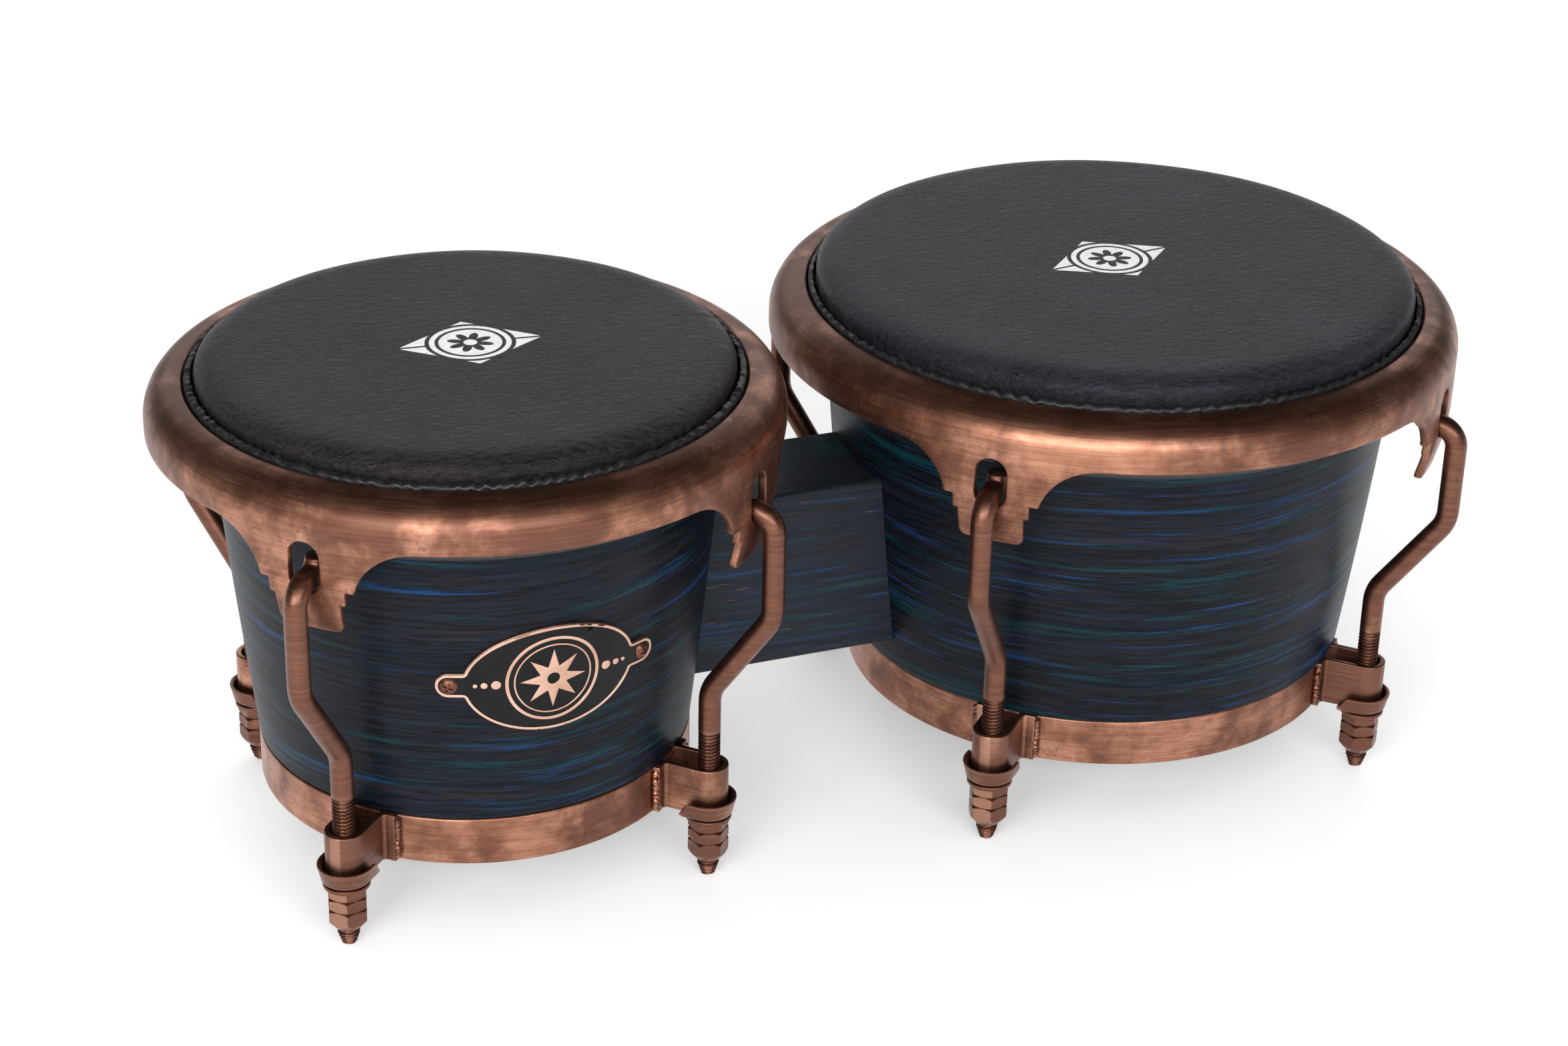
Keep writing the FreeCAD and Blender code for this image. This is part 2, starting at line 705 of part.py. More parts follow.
def make_bolts_and_washers():
    """Hexagon bolts from inside the shells into the block, each with a washer on the shell's inner face."""
    bolts, washers = [], []
    for drum in DRUM_SIZES:
        for level, x, height, way in bolt_row(drum):
            name = f"{drum}_{level}"
            seat = x - D["washer_thick"] * way - 0.5 * way
            shank = lying_cylinder(f"{name}_shank", seat, height, D["bolt_radius"], D["bolt_length"], way)
            head = document.addObject("Part::Prism", f"{name}_head")
            head.Polygon = 6
            bind(head, "Circumradius", D["bolt_head"])
            bind(head, "Height", D["bolt_head_high"])
            head.Placement = Placement(Vector(0, 0, 0), Rotation(Vector(0, 1, 0), -90 * way))
            bind(head, ".Placement.Base.x", seat)
            bind(head, ".Placement.Base.z", height)
            bolt = document.addObject("Part::Fuse", f"{name}_bolt")
            bolt.Base, bolt.Tool = head, shank
            bolts.append(bolt)
            disc = lying_cylinder(f"{name}_disc", seat, height, D["washer_radius"], D["washer_thick"], way)
            hole = lying_cylinder(f"{name}_disc_hole", seat, height, D["bolt_hole"], D["washer_thick"], way)
            washer = document.addObject("Part::Cut", f"{name}_washer")
            washer.Base, washer.Tool = disc, hole
            washers.append(washer)
    groups = []
    for label, pieces in (("block_bolts", bolts), ("block_washers", washers)):
        group = document.addObject("Part::Compound", label)
        group.Links = pieces
        group.Label = label
        groups.append(group)
    return groups


# ---------------------------------------------------------------- badge

def badge_trim_sketch(body, name, extra, beyond):
    """Section of what lies on one side of the shell's outer line moved out by extra."""
    line = shell_outer_corners("macho", extra)
    bottom, top = line[0][1], line[-1][1]
    return outline_sketch(body, name, "XZ_Plane", [*line[:-1], line[-1][:2], (beyond, top), (beyond, bottom)])


def badge_radius():
    """Radius of the shell's outer face at the badge's middle height."""
    low, high = D["shell_step_z"].value, D["shell_top_z"].value
    along = (D["badge_z"].value - low) / (high - low)
    foot, top = D["macho_foot_r"].value, D["macho_top_r"].value
    apex = D["macho_swell_r"].value + D["shell_swell"].value
    return foot + (top - foot) * along + (2 * apex - foot - top) * along * (1 - along)


def make_badge():
    """Oval badge plate with a screw tab at each end, curved to the small drum's shell."""
    body = new_body("badge_plate")
    half, tall = D["badge_half_wide"], D["badge_half_high"]
    tab, tab_reach = D["badge_tab_round"], D["badge_tab_half"] + D["badge_tab_round"]
    middle = D["badge_z"]
    quarter = [
        (tab_reach, middle + tab, tab - 0.1),
        (half, middle + tab),
        (half - 1.5, middle + tall, tall - 5.5),
    ]
    top_right = quarter
    top_left = [(-corner[0], *corner[1:]) for corner in reversed(quarter)]
    bottom_left = [(-corner[0], middle * 2 - corner[1], *corner[2:]) for corner in quarter]
    bottom_right = [(corner[0], middle * 2 - corner[1], *corner[2:]) for corner in reversed(quarter)]
    plan = outline_sketch(body, "badge_outline", "YZ_Plane", top_right + top_left + bottom_left + bottom_right,
                          lift=60)
    extrude(body, plan, 40)
    spin(body, badge_trim_sketch(body, "badge_behind", GAP, 40), "Groove")
    spin(body, badge_trim_sketch(body, "badge_before", D["badge_thick"] + GAP, 130), "Groove")
    place(body, DRUM_X["macho"], angle=BADGE_ANGLE)
    holes = document.addObject("Part::Compound", "badge_holes")
    holes.Links = [badge_bar(f"badge_hole_{side}", way, "badge_screw_hole", "badge_screw_long", 4, -1)
                   for side, way in BADGE_SIDES]
    badge = document.addObject("Part::Cut", "badge")
    badge.Base, badge.Tool = body, holes
    badge.Label = "badge"
    return badge


def badge_bar(name, side, radius, length, outward_by, way):
    """Round bar square to the shell through a tab of the badge, running outward (+1) or inward (-1)."""
    face = badge_radius() + D["badge_thick"].value + GAP
    swing = math.degrees(math.asin(D["badge_tab_half"].value / face))
    angle = BADGE_ANGLE + side * swing
    outward = Vector(math.cos(math.radians(angle)), math.sin(math.radians(angle)), 0)
    centre = Vector(DRUM_X["macho"].value, 0, D["badge_z"].value)
    bar = document.addObject("Part::Cylinder", name)
    bind(bar, "Radius", D[radius])
    bind(bar, "Height", D[length])
    bar.Placement = Placement(centre + outward * (face + outward_by), Rotation(Vector(0, 0, 1), outward * way))
    return bar


def make_badge_screws():
    """Two round-headed screws, one through each tab of the badge."""
    screws = []
    seat = D["badge_screw_seat"].value
    for name, side in BADGE_SIDES:
        dome = badge_bar(f"badge_screw_head_{name}", side, "badge_screw_radius", "badge_screw_head", seat, 1)
        rounded = document.addObject("Part::Fillet", f"badge_screw_dome_{name}")
        rounded.Base = dome
        document.recompute()
        rounded.Edges = [(outer_edge_number(dome), 1.2, 1.2)]
        shank = badge_bar(f"badge_screw_shank_{name}", side, "badge_screw_shank", "badge_screw_long", seat, -1)
        screw = document.addObject("Part::Fuse", f"badge_screw_{name}")
        screw.Base, screw.Tool = rounded, shank
        screws.append(screw)
    group = document.addObject("Part::Compound", "badge_screws")
    group.Links = screws
    group.Label = "badge_screws"
    return group


def outer_edge_number(bar):
    """Number of the bar's edge that lies furthest from the small drum's axis."""
    axis = Vector(DRUM_X["macho"].value, 0, D["badge_z"].value)
    edges = bar.Shape.Edges
    return 1 + max(range(len(edges)), key=lambda i: (edges[i].CenterOfMass - axis).Length)


# ---------------------------------------------------------------- the whole pair

def make_pair():
    pieces = []
    for drum in DRUM_SIZES:
        for maker in (make_shell, make_band, make_head, make_head_tuck, make_flesh_hoop, make_rim):
            pieces.append(maker(drum))
        for number, angle in enumerate(LUG_ANGLES, start=1):
            for maker in (make_hook, make_nut, make_saddle, make_bracket):
                pieces.append(maker(drum, number, angle))
    pieces.append(make_block())
    pieces.extend(make_bolts_and_washers())
    pieces.append(make_badge())
    pieces.append(make_badge_screws())
    return pieces


def check_features():
    """Stop if any object of the document failed, or if a cut removed nothing."""
    failed = [item.Name for item in document.Objects if {"Invalid", "Error"} & set(item.State)]
    if failed:
        raise RuntimeError(f"failed objects: {failed}")
    for item in document.Objects:
        if item.TypeId in ("PartDesign::Pocket", "PartDesign::Groove"):
            before = item.BaseFeature.Shape.Volume if item.BaseFeature else 0
            if item.Shape.Volume > before - 0.01:
                raise RuntimeError(f"{item.Name} cut nothing")


def export(pieces):
    os.makedirs("parts", exist_ok=True)
    for piece in pieces:
        shape = piece.Shape
        if shape.isNull() or not shape.isValid():
            raise RuntimeError(f"{piece.Label} has no valid shape")
        shape.exportStep(f"parts/{piece.Label}.step")
        print(f"{piece.Label}: {len(shape.Solids)} solid(s), {shape.Volume / 1000:.1f} cm3")


made = make_pair()
document.recompute()
check_features()
export(made)
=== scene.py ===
import math

import bmesh
import bpy
import numpy as np
from mathutils import Matrix, Vector
from mathutils.geometry import delaunay_2d_cdt


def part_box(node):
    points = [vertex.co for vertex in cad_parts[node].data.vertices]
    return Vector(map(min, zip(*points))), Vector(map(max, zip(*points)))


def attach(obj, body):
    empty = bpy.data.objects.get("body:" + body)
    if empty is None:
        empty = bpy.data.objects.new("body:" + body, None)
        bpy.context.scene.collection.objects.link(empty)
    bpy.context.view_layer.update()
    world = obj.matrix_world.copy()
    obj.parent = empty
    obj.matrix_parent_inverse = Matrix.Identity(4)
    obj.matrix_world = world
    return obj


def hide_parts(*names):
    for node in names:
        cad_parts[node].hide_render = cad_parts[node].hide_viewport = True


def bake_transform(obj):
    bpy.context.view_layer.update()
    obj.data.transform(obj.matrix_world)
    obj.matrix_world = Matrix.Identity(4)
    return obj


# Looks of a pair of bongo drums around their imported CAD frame. Sizes in this file are millimetres,
# and become metres where a mesh is made. Drums and lugs stand where the frame's nodes stand.

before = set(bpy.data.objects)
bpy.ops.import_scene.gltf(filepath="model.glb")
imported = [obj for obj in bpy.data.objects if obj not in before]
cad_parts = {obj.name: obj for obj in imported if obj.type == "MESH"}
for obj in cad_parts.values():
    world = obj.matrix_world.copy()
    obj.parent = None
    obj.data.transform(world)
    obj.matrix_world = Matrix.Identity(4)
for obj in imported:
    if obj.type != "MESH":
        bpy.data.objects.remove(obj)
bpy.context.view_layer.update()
MM = 0.001
LUG_ANGLES = (45, 135, 225, 315)
THREAD_PITCH = 1.411
BADGE_ANGLE = -88


# ---------------------------------------------------------------- places read from the frame

def box_mm(node):
    low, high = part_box(node)
    return np.array(low) / MM, np.array(high) / MM


def drum_places(drum):
    """Centre, radii and heights of a drum, all read from its CAD nodes."""
    shell_low, shell_high = box_mm(f"{drum}_shell")
    head_low, head_high = box_mm(f"{drum}_head")
    rim_low, rim_high = box_mm(f"{drum}_rim")
    band_low, band_high = box_mm(f"{drum}_bottom_band")
    tuck_high = box_mm(f"{drum}_head_tuck")[1]
    hoop_low, hoop_high = box_mm(f"{drum}_flesh_hoop")
    return {
        "x": (shell_low[0] + shell_high[0]) / 2,
        "foot_z": shell_low[2],
        "top_z": shell_high[2],
        "head_r": (head_high[0] - head_low[0]) / 2,
        "head_z": head_high[2],
        "rim_r": (rim_high[0] - rim_low[0]) / 2,
        "rim_top_z": rim_high[2],
        "band_r": (band_high[0] - band_low[0]) / 2,
        "band_low_z": band_low[2],
        "band_high_z": band_high[2],
        "tuck_z": tuck_high[2],
        "hoop_z": (hoop_low[2] + hoop_high[2]) / 2,
        "hoop_r": (hoop_high[0] - hoop_low[0]) / 2 - 3,
    }


DRUMS = {drum: drum_places(drum) for drum in ("macho", "hembra")}
SHELL_FOOT_R = {"macho": 78.0, "hembra": 95.3}
SHELL_TOP_R = {"macho": 91.4, "hembra": 108.5}
SHELL_SWELL = {"macho": 0.75, "hembra": 0.95}
SHELL_STEP_Z = 46.0
SHELL_WALL = 11.0
RIM_WALL = 13.8


def rod_place(drum, number):
    """Axis of a tuning rod, from its nut."""
    low, high = box_mm(f"{drum}_tuning_nut_{number}")
    return (low[:2] + high[:2]) / 2


# ---------------------------------------------------------------- outlines

def unit(vector):
    return vector / np.linalg.norm(vector)


def rounded(corners, closed=True, degrees=9):
    """Points of a chain through corners (x, y) or (x, y, radius), each radius an arc in even steps.
    A straight run gets one more point next to each arc, so that smooth shading stays on the arc."""
    count = len(corners)
    spots = [np.array(corner[:2], float) for corner in corners]
    radii = [corner[2] if len(corner) == 3 else 0 for corner in corners]
    turns, reaches = [], []
    for i in range(count):
        inward, outward = unit(spots[i] - spots[i - 1]), unit(spots[(i + 1) % count] - spots[i])
        turn = math.acos(max(-1.0, min(1.0, float(inward @ outward)))) if radii[i] else 0
        turns.append(turn)
        reaches.append(radii[i] * math.tan(turn / 2))
    points = []
    for i, here in enumerate(spots):
        if not radii[i]:
            points.append(here)
            continue
        before, after = spots[i - 1], spots[(i + 1) % count]
        inward, outward = unit(here - before), unit(after - here)
        turn, radius = turns[i], radii[i]
        room_in = np.linalg.norm(here - before) - reaches[i] - reaches[i - 1]
        room_out = np.linalg.norm(after - here) - reaches[i] - reaches[(i + 1) % count]
        side = 1 if inward[0] * outward[1] - inward[1] * outward[0] > 0 else -1
        start = here - inward * reaches[i]
        arm = side * radius * np.array((inward[1], -inward[0]))
        centre = start - arm
        support = min(0.5 * radius, 0.5)
        if room_in > 0.2:
            points.append(start - inward * min(support, 0.3 * room_in))
        steps = max(3, math.ceil(math.degrees(turn) / degrees))
        for angle in np.linspace(0, side * turn, steps + 1):
            points.append(centre + np.array((arm[0] * math.cos(angle) - arm[1] * math.sin(angle),
                                             arm[0] * math.sin(angle) + arm[1] * math.cos(angle))))
        if room_out > 0.2:
            points.append(here + outward * (reaches[i] + min(support, 0.3 * room_out)))
    keep = [i for i in range(len(points)) if (i == 0 and not closed)
            or np.linalg.norm(points[i] - points[i - 1]) > 1e-4]
    return np.array(points)[keep]


def spaced(points, step, closed=True):
    """The same line with points no further apart than step."""
    ends = np.roll(points, -1, axis=0) if closed else points[1:]
    result = []
    for a, b in zip(points, ends):
        pieces = max(1, math.ceil(np.linalg.norm(b - a) / step))
        result.extend(a + (b - a) * k / pieces for k in range(pieces))
    if not closed:
        result.append(points[-1])
    return np.array(result)


def inset(points, distance, closed=True):
    """The line moved to its left by distance, with mitred corners."""
    ahead = np.roll(points, -1, axis=0) - points
    if not closed:
        ahead[-1] = ahead[-2]
    ahead /= np.linalg.norm(ahead, axis=1)[:, None]
    behind = np.roll(ahead, 1, axis=0)
    if not closed:
        behind[0] = ahead[0]
    left_ahead = np.stack((-ahead[:, 1], ahead[:, 0]), 1)
    left_behind = np.stack((-behind[:, 1], behind[:, 0]), 1)
    middle = left_ahead + left_behind
    middle /= np.linalg.norm(middle, axis=1)[:, None]
    stretch = np.clip((middle * left_ahead).sum(1), 0.5, 1)
    return points + middle * (distance / stretch)[:, None]


def circle(radius, count, clockwise=False, centre=(0, 0)):
    angles = np.linspace(0, math.tau, count, endpoint=False) * (-1 if clockwise else 1)
    return np.stack((centre[0] + radius * np.cos(angles), centre[1] + radius * np.sin(angles)), 1)


# ---------------------------------------------------------------- mesh building

def grid_part(points, wrap_across=True, wrap_along=False):
    """Vertices and quads of a grid of points shaped (across, along, 3)."""
    across, along = points.shape[:2]
    index = np.arange(across * along).reshape(across, along)
    rows = np.concatenate((index, index[:1])) if wrap_across else index
    cells = np.concatenate((rows, rows[:, :1]), 1) if wrap_along else rows
    quads = np.stack((cells[:-1, :-1], cells[1:, :-1], cells[1:, 1:], cells[:-1, 1:]), -1).reshape(-1, 4)
    return points.reshape(-1, 3), quads.tolist()


def lathe_part(section, centre_x, segments=288, closed=True, wobble=None):
    """A section (radius, height) turned round a drum's axis; wobble changes it round the turn."""
    angle = np.linspace(0, math.tau, segments, endpoint=False)[:, None]
    radius = np.repeat(section[None, :, 0], segments, 0)
    height = np.repeat(section[None, :, 1], segments, 0)
    if wobble:
        radius, height = wobble(angle, radius, height)
    points = np.stack((centre_x + radius * np.cos(angle), radius * np.sin(angle), height), -1)
    return grid_part(points, True, closed)


def inside(points, loops):
    """Which points lie in the region that the loops bound, by counting crossings."""
    crossings = np.zeros(len(points), int)
    for loop in loops:
        a, b = loop, np.roll(loop, -1, axis=0)
        for (ax, ay), (bx, by) in zip(a, b):
            if ay == by:
                continue
            straddles = (points[:, 1] > min(ay, by)) & (points[:, 1] <= max(ay, by))
            at = ax + (points[:, 1] - ay) * (bx - ax) / (by - ay)
            crossings += straddles & (at > points[:, 0])
    return crossings % 2 == 1


def fill(loops, spacing):
    """Triangles over the region bounded by loops, with even points inside it."""
    border = np.concatenate(loops)
    low, high = border.min(0), border.max(0)
    across = np.arange(low[0], high[0], spacing)
    up = np.arange(low[1], high[1], spacing * 0.866)
    mesh = np.array([(x + spacing / 2 * (j % 2), y) for j, y in enumerate(up) for x in across])
    mesh = mesh[inside(mesh, loops)]
    if len(mesh):
        gaps = np.linalg.norm(mesh[:, None] - border[None], axis=2).min(1)
        mesh = mesh[gaps > spacing * 0.6]
    points = np.concatenate((border, mesh)) if len(mesh) else border
    edges, start = [], 0
    for loop in loops:
        count = len(loop)
        edges += [(start + i, start + (i + 1) % count) for i in range(count)]
        start += count
    out = delaunay_2d_cdt([Vector(p) for p in points], edges, [], 0, 1e-6)
    flat = np.array([tuple(v) for v in out[0]])
    triangles = np.array([f for f in out[2]])
    keep = inside(flat[triangles].mean(1), loops)
    return flat, triangles[keep].tolist()


def edge_steps(thick, bevel):
    """(inset, depth) pairs down a plate's edge, with both arrises rounded."""
    quarter = [(bevel * (1 - math.sin(a)), bevel * (1 - math.cos(a))) for a in np.linspace(0, math.pi / 2, 4)]
    return quarter + [(step[0], thick - step[1]) for step in reversed(quarter)]


def plate_parts(loops, thick, bevel, spacing, to_space):
    """A plate over the region of the loops (outer anticlockwise, holes clockwise), with rounded arrises.
    to_space takes points of the plan and their depth below the face."""
    steps = edge_steps(thick, bevel)
    parts = []
    for loop in loops:
        rings = [to_space(inset(loop, step[0]), step[1]) for step in steps]
        parts.append(grid_part(np.stack(rings, 1), True, False))
    flat, triangles = fill([inset(loop, bevel) for loop in loops], spacing)
    parts.append((to_space(flat, 0.0), triangles))
    parts.append((to_space(flat, thick), [triangle[::-1] for triangle in triangles]))
    return parts


def closed_tube(path, points):
    """Rings of points along a path, drawn together at both ends."""
    first = np.repeat(path[None, :1], len(points), 0)
    last = np.repeat(path[None, -1:], len(points), 0)
    return grid_part(np.concatenate((first, points, last), 1), True, False)


def sweep_part(path, section, side=(0, 1, 0)):
    """A round tube along a path that lies in one plane; section(turn, path index) gives its radius."""
    ahead = np.gradient(path, axis=0)
    ahead /= np.linalg.norm(ahead, axis=1)[:, None]
    side = np.array(side, float)
    out = np.cross(side, ahead)
    turn = np.linspace(0, math.tau, section.shape[0], endpoint=False)[:, None, None]
    around = np.cos(turn) * out[None] + np.sin(turn) * side
    return closed_tube(path, path[None] + section[..., None] * around)


def make_piece(name, parts, body, stands_for, materials, sharp=38):
    """One piece from mesh parts in millimetres, cleaned, shaded and tied to its body."""
    vertices, faces, start = [], [], 0
    for points, polygons in parts:
        vertices.append(points)
        faces += [[start + i for i in polygon] for polygon in polygons]
        start += len(points)
    mesh = bpy.data.meshes.new(name)
    mesh.from_pydata((np.concatenate(vertices) * MM).tolist(), [], faces)
    work = bmesh.new()
    work.from_mesh(mesh)
    bmesh.ops.remove_doubles(work, verts=work.verts, dist=2e-6)
    bmesh.ops.dissolve_degenerate(work, dist=1e-6, edges=work.edges)
    bmesh.ops.recalc_face_normals(work, faces=work.faces)
    work.to_mesh(mesh)
    work.free()
    mesh.polygons.foreach_set("use_smooth", [True] * len(mesh.polygons))
    mesh.set_sharp_from_angle(angle=math.radians(sharp))
    for material in materials:
        mesh.materials.append(material)
    piece = bpy.data.objects.new(name, mesh)
    bpy.context.scene.collection.objects.link(piece)
    if body:
        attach(piece, body)
    if stands_for:
        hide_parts(*stands_for)
    return piece


# ---------------------------------------------------------------- materials

class Shader:
    """A short way to write one node material."""

    def __init__(self, name):
        self.material = bpy.data.materials.new(name)
        self.material.use_nodes = True
        self.tree = self.material.node_tree
        self.surface = self.tree.nodes["Principled BSDF"]
        self.place = self.node("ShaderNodeTexCoord").outputs["Object"]

    def node(self, kind, **settings):
        made = self.tree.nodes.new(kind)
        for key, value in settings.items():
            setattr(made, key, value)
        return made

    def join(self, source, target):
        if hasattr(source, "is_output"):
            self.tree.links.new(source, target)
        else:
            target.default_value = source

    def math(self, operation, *values):
        made = self.node("ShaderNodeMath", operation=operation)
        for value, socket in zip(values, made.inputs):
            self.join(value, socket)
        return made.outputs[0]

    def plus(self, first, second):
        return self.math("ADD", first, second)

    def minus(self, first, second):
        return self.math("SUBTRACT", first, second)

    def times(self, first, second):
        return self.math("MULTIPLY", first, second)

    def vector(self, x, y, z):
        made = self.node("ShaderNodeCombineXYZ")
        for value, socket in zip((x, y, z), made.inputs):
            self.join(value, socket)
        return made.outputs[0]

    def split(self, source):
        made = self.node("ShaderNodeSeparateXYZ")
        self.join(source, made.inputs[0])
        return made.outputs

    def scaled(self, source, scale):
        made = self.node("ShaderNodeVectorMath", operation="MULTIPLY")
        self.join(source, made.inputs[0])
        made.inputs[1].default_value = scale
        return made.outputs[0]

    def noise(self, source, scale, detail=3.0, roughness=0.5, distortion=0.0, w=None):
        made = self.node("ShaderNodeTexNoise", noise_dimensions="3D" if w is None else "4D")
        self.join(source, made.inputs["Vector"])
        made.inputs["Scale"].default_value = scale
        made.inputs["Detail"].default_value = detail
        made.inputs["Roughness"].default_value = roughness
        made.inputs["Distortion"].default_value = distortion
        if w is not None:
            self.join(w, made.inputs["W"])
        return made.outputs["Fac"]

    def cells(self, source, scale):
        made = self.node("ShaderNodeTexVoronoi")
        self.join(source, made.inputs["Vector"])
        made.inputs["Scale"].default_value = scale
        return made.outputs["Distance"]

    def spread(self, source, low, high, to_low=0.0, to_high=1.0):
        made = self.node("ShaderNodeMapRange", interpolation_type="SMOOTHSTEP")
        self.join(source, made.inputs[0])
        for value, socket in zip((low, high, to_low, to_high), made.inputs[1:5]):
            self.join(value, socket)
        return made.outputs[0]

    def ramp(self, source, *stops):
        made = self.node("ShaderNodeValToRGB")
        self.join(source, made.inputs[0])
        ramp = made.color_ramp
        while len(ramp.elements) < len(stops):
            ramp.elements.new(0.5)
        for element, (position, colour) in zip(ramp.elements, stops):
            element.position = position
            element.color = (*colour, 1)
        return made.outputs[0]

    def mix(self, share, first, second):
        made = self.node("ShaderNodeMix", data_type="RGBA")
        self.join(share, made.inputs["Factor"])
        for value, socket in zip((first, second), (made.inputs["A"], made.inputs["B"])):
            self.join(value if hasattr(value, "is_output") else (*value, 1), socket)
        return made.outputs["Result"]

    def bump(self, *layers):
        """Bump from (height socket, depth in millimetres) layers."""
        normal = None
        for height, depth in layers:
            made = self.node("ShaderNodeBump")
            made.inputs["Strength"].default_value = 1.0
            made.inputs["Distance"].default_value = depth * MM
            self.join(height, made.inputs["Height"])
            if normal is not None:
                self.join(normal, made.inputs["Normal"])
            normal = made.outputs[0]
        self.join(normal, self.surface.inputs["Normal"])

    def set(self, **values):
        for key, value in values.items():
            self.join(value, self.surface.inputs[key.replace("_", " ")])


def wear_and_crevice_shade_masks(shader):
    """Two masks from the mesh's own curvature: worn arrises, and painted shade in inside corners."""
    point = shader.node("ShaderNodeNewGeometry").outputs["Pointiness"]
    return shader.spread(point, 0.52, 0.62), shader.spread(point, 0.48, 0.42)


def copper(name, centre_x=None, seed=0.0, lines=1500, dark=0.5):
    """Antique copper plate: brushed, with brown patina, worn arrises and painted shade darkening its inside
    corners. Round a drum the brushing runs in rings, and with no centre it runs level. dark is how much of it
    the patina covers."""
    shader = Shader(name)
    x, y, z = shader.split(shader.place)
    spot = shader.vector(shader.plus(x, seed), y, z)
    if centre_x is None:
        brushed = shader.noise(shader.scaled(spot, (60, 60, lines)), 1, 3, 0.6)
    else:
        across = shader.minus(x, centre_x * MM)
        radius = shader.math("SQRT", shader.plus(shader.math("POWER", across, 2), shader.math("POWER", y, 2)))
        east, north = shader.math("DIVIDE", across, radius), shader.math("DIVIDE", y, radius)
        ring = shader.vector(shader.times(radius, lines), shader.times(z, lines),
                             shader.times(east, 6))
        brushed = shader.noise(ring, 1, 3, 0.6, w=shader.times(north, 6))
    clouds = shader.noise(spot, 13, 4, 0.55, 0.4)
    mottle = shader.noise(spot, 70, 5, 0.62, 0.3)
    specks = shader.noise(spot, 650, 4, 0.6)
    worn, crevice_shade = wear_and_crevice_shade_masks(shader)
    patina = shader.plus(shader.times(clouds, 0.6), shader.times(mottle, 0.4))
    patina = shader.spread(patina, 0.36 + 0.17 * dark, 0.56 + 0.12 * dark, 1.0, 0.0)
    blotch = shader.spread(shader.plus(mottle, shader.times(specks, 0.25)), 0.76, 0.83)
    tone = shader.ramp(shader.plus(shader.times(mottle, 0.45),
                                   shader.times(brushed, 0.55)),
                       (0.34, (0.25, 0.102, 0.058)), (0.5, (0.39, 0.176, 0.108)),
                       (0.66, (0.56, 0.285, 0.190)))
    brown = shader.mix(brushed, (0.060, 0.024, 0.017), (0.200, 0.082, 0.052))
    colour = shader.mix(shader.times(patina, 0.85), tone, brown)
    colour = shader.mix(shader.times(blotch, 0.45), colour, (0.060, 0.024, 0.020))
    # painted shade: inside corners, found by their pointiness, darkened almost to black
    colour = shader.mix(shader.times(crevice_shade, 0.85), colour, (0.010, 0.006, 0.005))
    colour = shader.mix(shader.times(worn, 0.45), colour, (0.60, 0.33, 0.23))
    rough = shader.plus(shader.times(brushed, 0.16), shader.times(patina, 0.10))
    least_rough = 0.24 if centre_x is None else 0.31
    shader.set(Base_Color=colour, Metallic=1.0, Roughness=shader.plus(rough, least_rough),
               Coat_Weight=0.2, Coat_Roughness=0.28)
    shader.bump((brushed, 0.010), (specks, 0.012), (mottle, 0.04))
    return shader.material


def stained_wood(name, seed=0.0, flecks=0.0, pale=0.0):
    """Dark stained wood under satin lacquer: level streaks of charcoal, teal, blue and grey-brown.
    flecks adds short copper-coloured strokes, and pale mixes in a charcoal haze."""
    shader = Shader(name)
    x, y, z = shader.split(shader.place)
    x = shader.plus(x, seed)
    bend = shader.noise(shader.vector(x, y, z), 6, 2, 0.5)
    grain_place = shader.vector(x, y, shader.plus(z, shader.times(bend, 0.016)))
    bands = shader.noise(shader.scaled(grain_place, (8, 8, 190)), 1, 6, 0.74, 0.2)
    values = shader.noise(shader.scaled(grain_place, (12, 12, 420)), 1, 5, 0.70, 0.2)
    strokes = shader.noise(shader.scaled(grain_place, (9, 9, 300)), 1, 5, 0.66, 0.2)
    greens = shader.noise(shader.scaled(grain_place, (7, 7, 170)), 1.37, 5, 0.66, 0.2)
    fine = shader.noise(shader.scaled(grain_place, (22, 22, 1900)), 1, 3, 0.6)
    base = shader.ramp(bands, (0.32, (0.0020, 0.0030, 0.0055)), (0.43, (0.0022, 0.0075, 0.0150)),
                       (0.49, (0.0090, 0.0080, 0.0105)), (0.55, (0.0035, 0.0085, 0.0170)),
                       (0.62, (0.0150, 0.0105, 0.0115)), (0.72, (0.0040, 0.0065, 0.0160)))
    colour = shader.mix(shader.spread(greens, 0.52, 0.66, 0.0, 0.9), base, (0.0020, 0.0330, 0.0400))
    colour = shader.mix(shader.spread(strokes, 0.55, 0.70, 0.0, 0.9), colour, (0.0060, 0.0420, 0.1500))
    lines = shader.math("ABSOLUTE", shader.minus(values, 0.47))
    colour = shader.mix(shader.spread(lines, 0.045, 0.010, 0.0, 0.9), colour, (0.0008, 0.0010, 0.0020))
    colour = shader.mix(shader.spread(fine, 0.56, 0.72, 0.0, 0.45), colour, (0.0012, 0.0018, 0.0032))
    colour = shader.mix(pale, colour, (0.040, 0.046, 0.060))
    if flecks:
        stroke = shader.noise(shader.scaled(grain_place, (60, 60, 800)), 1, 3, 0.6)
        patches = shader.noise(shader.place, 30, 3, 0.5)
        fleck = shader.times(shader.spread(stroke, 0.66, 0.72), shader.spread(patches, 0.46, 0.60))
        colour = shader.mix(shader.times(fleck, flecks), colour, (0.155, 0.075, 0.045))
    shader.set(Base_Color=colour, Roughness=shader.spread(fine, 0.3, 0.7, 0.36, 0.45), Metallic=0.0,
               Specular_IOR_Level=0.13)
    shader.bump((values, 0.03), (fine, 0.015))
    return shader.material


